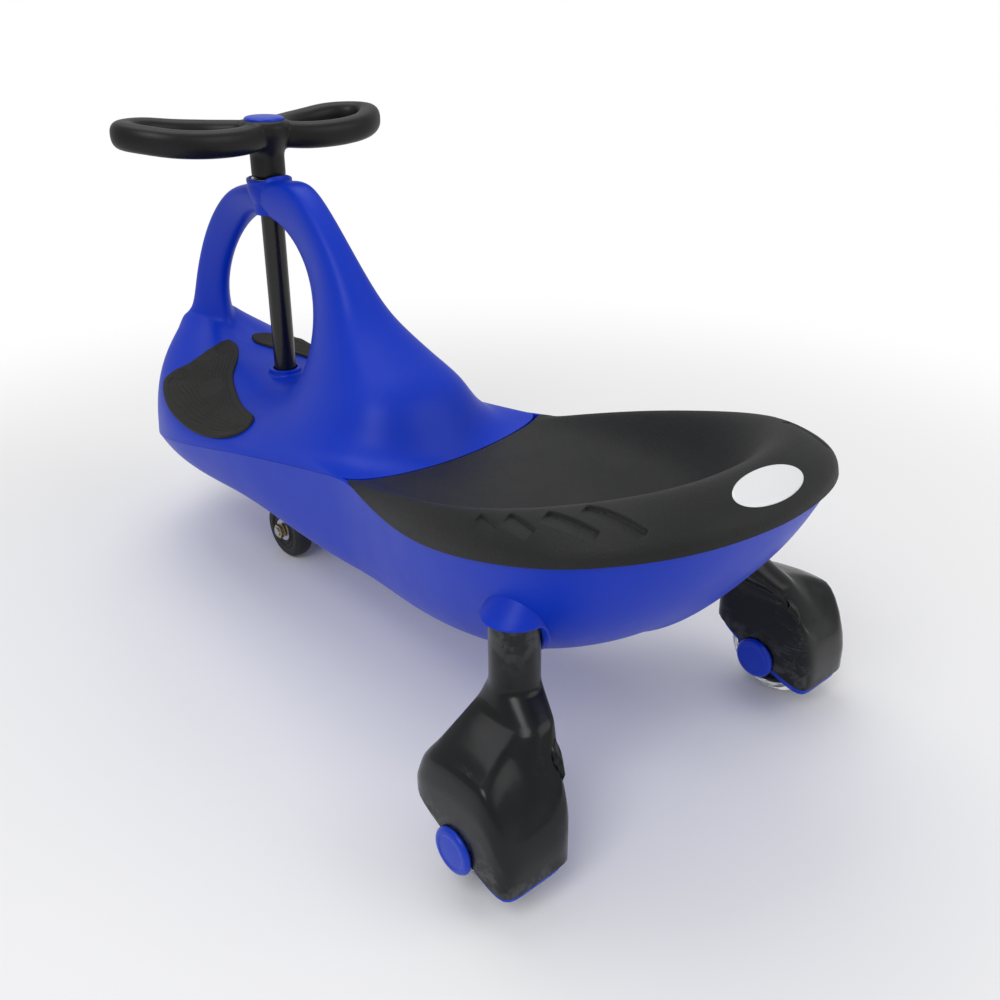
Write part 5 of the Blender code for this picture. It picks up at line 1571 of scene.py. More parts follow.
SEAT_RIBS = [
    [(-242, 84, 174), (-243, 74, 171.5), (-247, 0, 166.5)],
    [(-280, 97, 187), (-280, 82, 175), (-281, 0, 168)],
    [(-332, 110, 205), (-322, 91, 176), (-308, 0, 169)],
    [(-380, 113, 219), (-364, 92, 176), (-338, 0, 169)],
    [(-418, 107, 230), (-398, 88, 178), (-364, 0, 169.5)],
    [(-450, 93, 240), (-426, 73, 182), (-384, 0, 170.5)],
    [(-473, 74, 246), (-447, 56, 187), (-399, 0, 172)],
    [(-487, 51, 249), (-460, 38, 191), (-409, 0, 173.5)],
    [(-494, 26, 250), (-467, 19, 193), (-415, 0, 174.5)],
    [(-496, 0, 250.5), (-469, 0, 194), (-418, 0, 175)],
]
RIM_SLOTS = [
    ((-415, 121), (-433, 124)),
    ((-435, 116), (-458, 119)),
    ((-457, 107), (-491, 103)),
    ((-473, 93), (-510, 86)),
]
SLOTS_FRONT = -405
SLOT_REACH = 8.0
RIM_ABOVE = 0.19


@dataclass
class SeatPanel:
    """The grained seat: a scooped pan inside a raised rim with four slots on each side."""

    wall: float = 0.0030
    levels: int = 4
    front_shift: float = -0.0012
    shoulder: float = 0.0100
    shoulder_inset: float = 0.0015
    slope_rise: float = 0.0035
    slot_width: float = 0.0080
    slot_depth: float = 0.0026
    slot_edge: float = 0.0009
    badge_x: float = -0.5240
    badge_length: float = 0.0600
    badge_width: float = 0.0215
    badge_thickness: float = 0.0010
    badge_edge: float = 0.0009
    badge_steps: int = 120
    badge_rings: int = 24
    search_height: float = 0.36

    def rows(self) -> list[Ring]:
        """Return the rows of the left half, from its edge to the pan's middle.

        Returns:
            The control points.
        """
        rows = []
        for index, (place, rib) in enumerate(zip(SEAT_EDGE, SEAT_RIBS)):
            edge = drawn(place)
            ridge, foot, middle = (drawn(point) for point in rib)
            if index == 0:
                between = [edge.lerp(ridge, share) for share in (0.3, 0.7)]
                row = [edge, *between, ridge, foot, drawn(SEAT_FRONT[1]), middle]
                rows.append([point + Vector((self.front_shift, 0.0, 0.0)) for point in row])
                continue
            rise = min(1.0, index / 2.0)
            inward = Vector((ridge.x - edge.x, ridge.y - edge.y, 0.0)).normalized()
            shoulder = edge + inward * self.shoulder_inset + UP * (self.shoulder * rise)
            slope = shoulder.lerp(ridge, 0.42) + UP * (self.slope_rise * rise)
            pan = foot.lerp(middle, 0.45)
            pan.z = middle.z + (foot.z - middle.z) * 0.30
            rows.append([edge, shoulder, slope, ridge, foot, pan, middle])
        return rows

    def near_slot(self, middle: Vector) -> bool:
        """Return whether a point of the rim is close to a slot.

        Args:
            middle: The point.

        Returns:
            Whether it is close.
        """
        spot = Vector(((middle.x - STEERING.foot.x) / MM, abs(middle.y) / MM))
        if spot.x > SLOTS_FRONT or middle.z < RIM_ABOVE:
            return False
        for start, end in RIM_SLOTS:
            line = Vector(end) - Vector(start)
            share = min(1.0, max(0.0, (spot - Vector(start)).dot(line) / line.length_squared))
            if (spot - Vector(start) - line * share).length < SLOT_REACH:
                return True
        return False

    def sink_slots(self, mesh: Mesh) -> None:
        """Sink the slots into the rim: deep along their inner edge and rising to flush at the outer one.

        Args:
            mesh: The seat, with fine faces at the slots.
        """
        points = coordinates(mesh)
        x = points[:, 0] - STEERING.foot.x
        y = np.abs(points[:, 1])
        on_rim = points[:, 2] > RIM_ABOVE
        for start, end in RIM_SLOTS:
            begin = np.array(start) * MM
            line = np.array(end) * MM - begin
            length = float(np.hypot(*line))
            along = line / length
            inward = np.array((-along[1], along[0]))
            away_x = x - begin[0]
            away_y = y - begin[1]
            u = away_x * along[0] + away_y * along[1]
            v = away_x * inward[0] + away_y * inward[1]
            half = self.slot_width / 2
            outer = half * (1.0 - 0.45 * np.clip(u / length, 0, 1))
            across_share = np.clip((v + outer) / (half + outer), 0.0, 1.0)
            walls = eased((half - v) / self.slot_edge + 1) * eased((u + 0.3 * half) / self.slot_edge)
            ends = eased((length - u) / (self.slot_edge * 3))
            sunk = self.slot_depth * across_share * walls * ends * on_rim
            sunk = np.where(v > half + self.slot_edge, 0.0, sunk)
            points[:, 2] -= sunk
        set_coordinates(mesh, points)

    def badge(self, tree: BVHTree) -> None:
        """Lay the bare oval badge on the rim's rear slope.

        Args:
            tree: The seat's surface.
        """
        centre = Vector((STEERING.foot.x + self.badge_x, 0.0, 0.0))
        outline = []
        for step in range(self.badge_steps):
            angle = 2 * math.pi * step / self.badge_steps
            reach = (self.badge_width / 2 * math.cos(angle), self.badge_length / 2 * math.sin(angle), 0.0)
            outline.append(centre + Vector(reach))

        def dome(spots: np.ndarray, edge: np.ndarray) -> np.ndarray:
            """Return the badge's height at spots, from their distances to its edge."""
            rim = np.sqrt(np.clip(1 - (1 - np.clip(edge / self.badge_edge, 0, 1)) ** 2, 0, 1))
            return np.maximum(self.badge_thickness * (0.75 * rim + 0.25 * eased(edge / 0.011)), 0.0003)

        patch = Patch("seat_badge_oval", outline, centre, self.search_height, self.badge_rings, gap=0.0001)
        made = new_piece("seat_badge_oval", patch.mesh(tree, dome))
        shade(made, THIN_ANGLE)
        finish_piece(made, Body.CAR, BADGE_GLOSS, "seat_badge")

    def build(self) -> None:
        """Build the seat and its badge, and finish them."""
        made = smooth_half("seat_panel_moulding", self.rows(), False, self.levels)
        tree = tree_of(made.data)
        refine(made.data, self.near_slot, 3)
        self.sink_slots(made.data)
        thicken(made, self.wall)
        shade(made, MOULDING_ANGLE)
        finish_piece(made, Body.CAR, SEAT_GRAIN, "seat_panel")
        self.badge(tree)


# The legs with the rear wheels


@dataclass(frozen=True)
class WheelShape:
    """The sizes that give a wheel's tyre and its dished core their sections."""

    radius: float
    width: float
    core_radius: float
    bearing_radius: float
    shoulder: tuple[Pair, ...]
    hub_edge: Pair
    rim_edge: Pair
    dish: float
    tyre_edge: float
    core_edge: float

    @property
    def half(self) -> float:
        """Return half of the wheel's width."""
        return self.width / 2

    @property
    def bore(self) -> float:
        """Return the radius of the core's seat for its bearing."""
        return self.bearing_radius + FIT_GAP

    def tyre(self) -> Section:
        """Return the tyre's section, from its seat over the tread."""
        face = [(self.core_radius + FIT_GAP, -self.half)]
        face += [(self.radius - drop, inset - self.half) for drop, inset in self.shoulder]
        return both_faces(face)

    def core(self) -> Section:
        """Return the core's section from one side of its bore to the other."""
        floor = self.dish - self.half
        return both_faces([
            (self.bore + self.hub_edge[0], -self.half), (self.bore + self.hub_edge[1], floor),
            (self.core_radius - self.rim_edge[1], floor), (self.core_radius - self.rim_edge[0], -self.half),
            (self.core_radius, -self.half),
        ])


@dataclass(frozen=True)
class HoodLevel:
    """One loop of the hood: its height, its rear height and how far it draws in on each side."""

    height: float
    rear: float
    corner: float
    front: float = 0.0
    back: float = 0.0
    inner: float = 0.0
    outer: float = 0.0


HOOD_BOTTOM_CORNER = 7
HOOD_LEVELS = (
    HoodLevel(0.0760, 0.0400, 7),
    HoodLevel(0.0870, 0.0460, 6, front=0.0030, back=0.0010, outer=0.0020),
    HoodLevel(0.0945, 0.0480, 5, front=0.0090, back=0.0040, inner=0.0010, outer=0.0070),
)
REAR_WHEEL = WheelShape(
    0.0365, 0.0260, 0.0275, 0.0110, ((0.0050, 0.0), (0.0012, 0.0035), (0.0, 0.0090)),
    hub_edge=(0.0030, 0.0045), rim_edge=(0.0025, 0.0040), dish=0.0030, tyre_edge=0.0012, core_edge=0.0005,
)


@dataclass
class RearLeg:
    """A leg with the hood over its wheel, the blue fork inside, and the wheel with its axle."""

    side: Side
    leg_x: float = -0.4380
    leg_y: float = 0.1120
    neck_radius: float = 0.0157
    neck_base: float = 0.1190
    neck_top: float = 0.1640
    hood_half_width: float = 0.0284
    hood_front: float = 0.0420
    hood_back: float = 0.0430
    hood_tilt: float = 0.0085
    arch: float = 0.0080
    arch_top: float = 0.55
    fall_start: float = 0.70
    inner_fall: float = 0.80
    steep_inset: float = 2.2
    bottom_front: float = 0.0580
    bottom_back: float = 0.0250
    bottom_curve: float = 1.3
    wall: float = 0.0028
    groove: float = 0.0016
    groove_outer: Pair = (0.75, 0.20)
    groove_inner: Pair = (0.10, 0.30)
    groove_rear: Pair = (0.80, 0.15)
    groove_front: float = 0.45
    groove_growth: float = 0.40
    border_share: float = 0.45
    border_depth: float = 0.75
    valley_share: float = 0.03
    rise_share: float = 0.22
    rise_depth: float = 0.25
    panel_share: float = 0.55
    fork_wall: float = 0.0070
    fork_drop: float = 0.0060
    roof_gap: float = 0.0010
    fork_edge: float = 0.0009
    lug_radius: float = 0.0140
    wheel: WheelShape = REAR_WHEEL
    wheel_room: float = 0.0010
    axle_radius: float = 0.0040
    axle_reach: float = 0.0600
    bearing_width: float = 0.0070
    core_room: float = 0.0025
    cap_radius: float = 0.0155
    cap_height: float = 0.0045
    skin_edge: float = 0.0042
    flare_height: float = 0.1060
    flare_sides: tuple[float, float, float, float] = (0.0020, -0.0190, 0.0090, 0.0050)
    flare_corner: float = 3.0
    loop_steps: int = 72
    axle: Vector = field(init=False)

    def __post_init__(self) -> None:
        """Read the wheel's place from the frame."""
        self.axle = joint_place(f"rear_wheel_{self.side.word}_roll")

    @property
    def body(self) -> Body:
        """Return the body of this side's wheel."""
        return Body.REAR_LEFT if self.side is Side.LEFT else Body.REAR_RIGHT

    def loop(
        self, z: float, front: float, back: float, inner: float, outer: float, corner: float
    ) -> np.ndarray:
        """Return a closed rounded loop at a height, on the car's left, as rows of three numbers.

        Args:
            z: The height.
            front: The foremost place.
            back: The rearmost place.
            inner: The side towards the car.
            outer: The side away from it.
            corner: How square the corners are.

        Returns:
            The loop.
        """
        angle = 2 * math.pi * np.arange(self.loop_steps) / self.loop_steps
        cos, sin = np.cos(angle), np.sin(angle)
        reach = (np.abs(cos) ** corner + np.abs(sin) ** corner) ** (-1 / corner)
        x = (front + back) / 2 + (front - back) / 2 * reach * cos
        y = (inner + outer) / 2 + (outer - inner) / 2 * reach * sin
        return np.stack([x, y, np.full_like(x, z)], axis=1)

    def roof(self, loop: np.ndarray, rear: float, rearward: np.ndarray, aside: np.ndarray) -> np.ndarray:
        """Return an upper loop's heights: arched along its outer edge and low at the rear.

        Args:
            loop: The level loop.
            rear: Its height at the rear.
            rearward: Each point's share of the way back.
            aside: Each point's share of the way out.

        Returns:
            The heights.
        """
        arch = self.arch * (1 - ((rearward - self.arch_top) / 0.5) ** 2)
        level = loop[:, 2] + aside * (arch - self.hood_tilt)
        fall = np.clip((rearward - self.fall_start) / (1 - self.fall_start), 0.0, 1.0) ** 2
        fall = fall * (self.inner_fall + (1 - self.inner_fall) * aside)
        return level + (rear - level) * fall

    def hood(self, inset: float, drop: float = 0.0, roof_gap: float = 0.0) -> list[np.ndarray]:
        """Return the hood's stacked loops, shrunk by an inset, with a lower rim and a gap below the roof.

        Args:
            inset: How far inside the hood's skin they lie.
            drop: How much lower the rim is.
            roof_gap: The gap below the roof.

        Returns:
            The loops, from the rim up.
        """
        inner = abs(self.axle.y) - self.hood_half_width + inset
        outer = abs(self.axle.y) + self.hood_half_width - inset
        front = self.axle.x + self.hood_front - inset
        back = self.axle.x - self.hood_back + inset
        bottom = self.loop(0.0, front, back, inner, outer, HOOD_BOTTOM_CORNER)
        share = np.clip((bottom[:, 0] - back) / (front - back), 0.0, 1.0)
        rise = (self.bottom_front - self.bottom_back) * share ** self.bottom_curve
        bottom[:, 2] = self.bottom_back + rise - drop
        loops = [bottom]
        for level in HOOD_LEVELS:
            ends = (front - level.front, back + level.back, inner + level.inner, outer - level.outer)
            loop = self.loop(level.height - inset, *ends, level.corner)
            rearward = (front - loop[:, 0]) / (front - back)
            aside = (loop[:, 1] - inner) / (outer - inner)
            loop[:, 2] = self.roof(loop, level.rear - self.steep_inset * inset, rearward, aside) - roof_gap
            loops.append(loop)
        return loops

    def skin(self, name: str, loops: Sequence[np.ndarray], radius: float) -> Mesh:
        """Skin a stack of loops on this side of the car, with its corners rounded from loop to loop.

        Args:
            name: The mesh's name.
            loops: The loops, from the lowest up.
            radius: How wide the rounding is.

        Returns:
            The skin.
        """
        stack = [[Vector((x, y * self.side.value, z)) for x, y, z in loop] for loop in loops]
        columns = [rounded_line(column, radius) for column in zip(*stack)]
        rows = [list(row) for row in zip(*columns)]
        return rows_mesh(name, rows, around=True)

    def neck_loops(self) -> tuple[np.ndarray, list[np.ndarray]]:
        """Return the flare's loop and the loops of the round neck.

        Returns:
            The flare, and the neck's loops.
        """
        x = STEERING.foot.x + self.leg_x
        front = x + self.neck_radius
        back = x - self.neck_radius
        inner = self.leg_y - self.neck_radius
        outer = self.leg_y + self.neck_radius
        ends = [end + move for end, move in zip((front, back, inner, outer), self.flare_sides)]
        flare = self.loop(self.flare_height, *ends, self.flare_corner)
        heights = (self.neck_base, self.neck_top)
        return flare, [self.loop(height, front, back, inner, outer, 2) for height in heights]

    def groove_weight(self, crest: np.ndarray) -> np.ndarray:
        """Return how deep the groove inside the border is: deepest along the outer and the rear edge.

        Args:
            crest: The hood's highest loop.

        Returns:
            The share of the depth at each point.
        """
        x = crest[:, 0]
        y = crest[:, 1]
        aside = (y - y.min()) / (y.max() - y.min())
        rearward = (x.max() - x) / (x.max() - x.min())

        def grown(share: np.ndarray, span: Pair) -> np.ndarray:
            """Return shares that grow from 0 to 1 over a span, given as its start and its length."""
            return eased((share - span[0]) / span[1])

        along = self.groove_front + (1 - self.groove_front) * eased(rearward / self.groove_growth)
        rear = grown(rearward, self.groove_rear) * grown(aside, self.groove_inner)
        return np.maximum(grown(aside, self.groove_outer) * along, rear)

    def build_leg(self) -> None:
        """Build the glossy leg: hood, raised border, sloping top and neck."""
        bottom, side_wall, shoulder, crest = self.hood(0.0)
        flare, neck = self.neck_loops()
        weight = self.groove_weight(crest)[:, None]
        sunk = np.array((0.0, 0.0, 1.0)) * weight * self.groove
        border = shoulder + (crest - shoulder) * self.border_share + self.border_depth * sunk
        slope = flare - crest
        valley = crest + slope * self.valley_share - sunk
        rise = crest + slope * self.rise_share - self.rise_depth * sunk
        panel = crest + slope * self.panel_share
        name = f"leg_{self.side.word}_moulding"
        loops = [bottom, side_wall, shoulder, border, valley, rise, panel, flare, *neck]
        made = new_piece(name, self.skin(name, loops, self.skin_edge))
        thicken(made, self.wall)
        shade(made, THIN_ANGLE)
        finish_piece(made, Body.CAR, HOOD_GLOSS, f"leg_{self.side.word}")

    def build_fork(self) -> None:
        """Build the blue fork that lines the hood and holds the axle at both ends."""
        inset = self.wall + FIT_GAP
        name = f"fork_{self.side.word}_moulding"
        loops = self.hood(inset, self.fork_drop, self.roof_gap)
        ends = [loop.mean(axis=0)[None] for loop in (loops[0], loops[-1])]
        rows = [ends[0], *loops, ends[1]]
        solid = [[Vector((x, y * self.side.value, z)) for x, y, z in loop] for loop in rows]
        made = new_piece(name, rows_mesh(name, solid, around=True))
        half = self.hood_half_width - inset
        room = half - self.fork_wall
        reach = self.wheel.radius + self.wheel_room
        place = across(self.axle)
        lugs = turned("lugs", both_faces([(0, -half), (self.lug_radius, -half)]), place)
        space = turned("space", both_faces([(0, -room), (reach, -room)]), place)
        bore = self.axle_radius + FIT_GAP
        hole = turned("hole", both_faces([(0, -self.axle_reach), (bore, -self.axle_reach)]), place)
        mouth = bmesh.new()
        size = Matrix.Diagonal((2 * reach, 2 * room, 2 * self.wheel.radius, 1.0))
        at = Matrix.Translation((self.axle.x, self.axle.y, 0.0))
        bmesh.ops.create_cube(mouth, size=1.0, matrix=at @ size)
        opening = bpy.data.meshes.new("mouth")
        mouth.to_mesh(opening)
        mouth.free()
        combine(made, "UNION", lugs)
        for cutter in (space, opening, hole):
            combine(made, "DIFFERENCE", cutter)
        limit = math.radians(40)
        add_step(made, "BEVEL", width=self.fork_edge, segments=3, limit_method="ANGLE", angle_limit=limit)
        settle(made)
        shade(made, TURNED_ANGLE)
        finish_piece(made, Body.CAR, BLUE_TRIM, f"fork_{self.side.word}")

    def build_wheel(self) -> None:
        """Build the clear tyre and the dark core, and dress the bearings."""
        place = across(self.axle)
        word = self.side.word
        tyre = rounded_ring(self.wheel.tyre(), self.wheel.tyre_edge)
        rim = TurnedPiece(f"rear_tyre_{word}_clear", tyre, place, f"rear_tyre_{word}", 128, True)
        rim.build(self.body, "clear_tyre", CLEAR_TYRE)
        half, bore = self.wheel.half, self.wheel.bore
        deep = half - self.bearing_width - FIT_GAP
        hole = self.axle_radius + self.core_room
        seats = both_faces([(bore, half), (bore, deep), (hole, deep)])
        core = rounded_ring([*seats, *self.wheel.core()], self.wheel.core_edge)
        middle = TurnedPiece(f"rear_core_{word}_moulding", core, place, f"rear_core_{word}", closed=True)
        middle.build(self.body, "core_black", CORE_PLASTIC)
        for spot in ("inner", "outer"):
            dress_node(f"rear_bearing_{word}_{spot}", BRIGHT_STEEL)

    def build_axle(self) -> None:
        """Build the axle's two domed caps and dress the axle."""
        word = self.side.word
        dress_node(f"rear_axle_{word}", BRIGHT_STEEL)
        reach = self.hood_half_width
        for spot, sign in (("outer", self.side.value), ("inner", -self.side.value)):
            end = reach + self.cap_height
            outline = [
                (0.0, reach + FIT_GAP), (self.cap_radius, reach + FIT_GAP),
                (self.cap_radius, reach + self.cap_height * 0.45), (self.cap_radius - 0.0016, end - 0.0007),
                (self.cap_radius * 0.72, end - 0.0004), (self.cap_radius * 0.66, end - 0.0009),
                (0.0, end - 0.0003),
            ]
            outline = [(radius, height * sign) for radius, height in rounded(outline, 0.0012, 5)]
            node = f"axle_cap_{word}_{spot}"
            cap = TurnedPiece(f"{node}_domed", outline, across(self.axle), node)
            cap.build(Body.CAR, "blue_trim", BLUE_TRIM)

    def build(self) -> None:
        """Build the whole leg with its wheel."""
        self.build_leg()
        self.build_fork()
        self.build_wheel()
        self.build_axle()
        dress_node(f"leg_screw_{self.side.word}", BRIGHT_STEEL)


def combine(made: Piece, operation: str, mesh: Mesh) -> None:
    """Join a form to a piece or cut it away, and remove the form.

    Args:
        made: The piece to change.
        operation: UNION or DIFFERENCE.
        mesh: The form, in the car's own frame.
    """
    form = new_piece("form", mesh)
    add_step(made, "BOOLEAN", operation=operation, solver="EXACT", object=form)
    settle(made)
    bpy.data.objects.remove(form)


# The steering column and the handlebar


@dataclass
class SteeringColumn:
    """The enamelled tube with its bushes and washers."""

    tube_radius: float = 0.0097
    tube_wall: float = 0.0016
    tube_top: float = 0.380
    tube_bottom: float = 0.040
    washer_radius: float = 0.0150
    washer_height: float = 0.0012
    washer_gap: float = 0.0004

    def build(self) -> None:
        """Build the tube and the bright washer, and dress the bushes and the plug."""
        line = STEERING.matrix
        low = STEERING.along(self.tube_bottom)
        high = STEERING.along(self.tube_top)
        inner = self.tube_radius - self.tube_wall
        section = [(inner, low), (self.tube_radius, low), (self.tube_radius, high), (inner, high)]
        tube = TurnedPiece("steering_tube_enamelled", section, line, "steering_tube", closed=True)
        tube.build(Body.STEERING, "tube_black", TUBE_ENAMEL)
        for node in ("upper_bush", "lower_bush"):
            dress_node(node, NATURAL_NYLON)
        for node in ("thrust_washer", "tube_plug", "handlebar_bolt"):
            dress_node(node, BRIGHT_STEEL)
        self.build_washer()

    def build_washer(self) -> None:
        """Build the thin bright washer that shows inside the collar."""
        line = STEERING.matrix
        low, high = ((line.inverted() @ corner).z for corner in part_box("collar_washer"))
        base = (low + high - self.washer_height) / 2
        inner = self.tube_radius + self.washer_gap
        section = [
            (inner, base), (self.washer_radius, base),
            (self.washer_radius, base + self.washer_height), (inner, base + self.washer_height),
        ]
        outline = rounded_ring(section, self.washer_height / 4)
        washer = TurnedPiece("collar_washer_bright", outline, line, "collar_washer", closed=True)
        washer.build(Body.STEERING, "steel", BRIGHT_STEEL)


@dataclass
class Handlebar:
    """The looped handlebar with its hub, its sleeve over the tube and the blue cap."""

    grip_radius: float = 0.0108
    grip_squareness: float = 2.6
    hub_top: float = 0.3955
    hub_radius: float = 0.0220
    hub_waist: float = 0.3690
    cap_radius: float = 0.0165
    cap_height: float = 0.0030
    cap_recess: float = 0.0100
    cutter_top: float = 0.3000
    cutter_below: float = 0.0200
    sleeve_radius: float = 0.0143
    sleeve_bottom: float = 0.3495
    tube_radius: float = 0.0097
    tube_top: float = 0.380
    voxel: float = 0.0012
    grip_reach: float = 0.1122
    grip_flatness: float = 0.96
    hub_shoulder: Pair = (0.0020, 0.0040)
    hub_side: float = 0.0120
    section_steps: int = 24
    grip_loop: list[Triple] = field(default_factory=lambda: [
        (-6, 12, 384), (-16, 34, 382.5), (-19, 62, 383), (-14, 88, 385), (0, 107, 388), (17, 115, 389.5),
        (32, 107, 389.5), (40, 88, 388.5), (39, 62, 385.5), (30, 36, 384), (12, 14, 384),
    ])

    def grip_centres(self, side: Side) -> list[Vector]:
        """Return the middle line of one grip, on the steering line's frame.

        Args:
            side: The side.

        Returns:
            The line.
        """
        reach = self.grip_reach / (max(y for _, y, _ in self.grip_loop) * MM)
        points = []
        for x, y, z in self.grip_loop:
            local = Vector((x * MM, y * MM * reach * side.value, z * MM - STEERING.foot.z))
            points.append(STEERING.matrix @ local)
        return through(points, 8, True)

    def grip(self, side: Side) -> Mesh:
        """Return one looped grip as a closed tube with a squarish section.

        Args:
            side: The side.

        Returns:
            The tube.
        """
        centres = self.grip_centres(side)
        count = len(centres)
        rings: list[Ring] = []
        power = 2 / self.grip_squareness
        for i, centre in enumerate(centres):
            ahead = (centres[(i + 1) % count] - centres[i - 1]).normalized()
            aside = ahead.cross(UP).normalized()
            above = aside.cross(ahead).normalized()
            ring = []
            for step in range(self.section_steps):
                angle = 2 * math.pi * step / self.section_steps
                cos = math.copysign(abs(math.cos(angle)) ** power, math.cos(angle))
                sin = math.copysign(abs(math.sin(angle)) ** power, math.sin(angle))
                ring.append(centre + (aside * cos * self.grip_flatness + above * sin) * self.grip_radius)
            rings.append(ring)
        return rows_mesh(f"grip_{side.word}", rings, around=True, closed=True)

    def hub(self) -> Mesh:
        """Return the hub and the sleeve below it as one turned solid.

        Returns:
            The solid.
        """
        top = STEERING.along(self.hub_top)
        bottom = STEERING.along(self.sleeve_bottom)
        ledge, drop = self.hub_shoulder
        outline = [
            (0.0, top), (self.cap_radius + ledge, top), (self.hub_radius, top - drop),
            (self.hub_radius, top - self.hub_side), (self.sleeve_radius, STEERING.along(self.hub_waist)),
            (self.sleeve_radius, bottom), (0.0, bottom),
        ]
        return turned("hub", rounded(outline, 0.002), STEERING.matrix, 72)

    def build(self) -> None:
        """Build the handlebar as one moulding, cut its recess and bore, and add the cap."""
        forms = [self.hub(), *(self.grip(side) for side in Side)]
        made = new_piece("handlebar_moulding", joined("handlebar_moulding", forms))
        add_step(made, "REMESH", mode="VOXEL", voxel_size=self.voxel, use_smooth_shade=True)
        add_step(made, "SMOOTH", factor=0.5, iterations=9)
        settle(made)
        line = STEERING.matrix
        top = STEERING.along(self.hub_top)
        recess = (self.cap_radius + FIT_GAP, top - self.cap_recess, self.cutter_top)
        under = STEERING.along(self.sleeve_bottom) - self.cutter_below
        bore = (self.tube_radius + FIT_GAP, under, STEERING.along(self.tube_top) + FIT_GAP)
        for radius, low, high in (recess, bore):
            cutter = [(0, low), (radius, low), (radius, high), (0, high)]
            combine(made, "DIFFERENCE", turned("cutter", cutter, line))
        shade(made, 45.0)
        finish_piece(made, Body.STEERING, BAR_SATIN, "handlebar")
        self.build_cap(top)

    def build_cap(self, top: float) -> None:
        """Build the blue cap that closes the hub.

        Args:
            top: The hub's top, along the steering line.
        """
        end = top + self.cap_height
        outline = [
            (0.0, top - 0.0020), (self.cap_radius, top - 0.0020), (self.cap_radius, end - 0.0016),
            (self.cap_radius - 0.0022, end - 0.0005), (self.cap_radius * 0.6, end - 0.0001), (0.0, end),
        ]
        cap = TurnedPiece("centre_cap_domed", rounded(outline, 0.0011, 5), STEERING.matrix, "centre_cap")
        cap.build(Body.STEERING, "blue_trim", BLUE_TRIM)


# The front truck


FRONT_WHEEL = WheelShape(
    0.0280, 0.0180, 0.0180, 0.0110, ((0.0040, 0.0), (0.0010, 0.0025), (0.0, 0.0060)),
    hub_edge=(0.0015, 0.0025), rim_edge=(0.0010, 0.0020), dish=0.0015, tyre_edge=0.0009, core_edge=0.0004,
)


@dataclass
class FrontTruck:
    """The truck below the column with its axle and its two wheels."""

    wheel: WheelShape = FRONT_WHEEL

    def build_wheel(self, side: Side) -> None:
        """Build the tyre and the core of one wheel, and dress its bearing.

        Args:
            side: The side.
        """
        place = across(joint_place(f"front_wheel_{side.word}_roll"))
        body = Body.FRONT_LEFT if side is Side.LEFT else Body.FRONT_RIGHT
        node = f"front_tyre_{side.word}"
        tyre = rounded_ring(self.wheel.tyre(), self.wheel.tyre_edge)
        rim = TurnedPiece(f"{node}_moulding", tyre, place, node, closed=True)
        rim.build(body, "front_tyre", TYRE_RUBBER)
        node = f"front_core_{side.word}"
        half, bore = self.wheel.half, self.wheel.bore
        core = rounded_ring([(bore, -half), *self.wheel.core(), (bore, half)], self.wheel.core_edge)
        middle = TurnedPiece(f"{node}_moulding", core, place, node, closed=True)
        middle.build(body, "core_black", CORE_PLASTIC)
        dress_node(f"front_bearing_{side.word}", BRIGHT_STEEL)
        dress_node(f"front_nut_{side.word}", YELLOW_ZINC, 0.0002)

    def build(self) -> None:
        """Dress the truck and its axle, and build both wheels."""
        dress_node("front_truck", CORE_PLASTIC, 0.0008)
        dress_node("front_axle", BRIGHT_STEEL)
        for side in Side:
            self.build_wheel(side)


@dataclass
class Fasteners:
    """The screws that hold the two upper covers to the hull."""

    count: int = 3

    def build(self) -> None:
        """Dress every screw."""
        for number in range(1, self.count + 1):
            for cover in ("shell", "seat"):
                dress_node(f"{cover}_screw_{number}", BRIGHT_STEEL, 0.0002)


# The studio


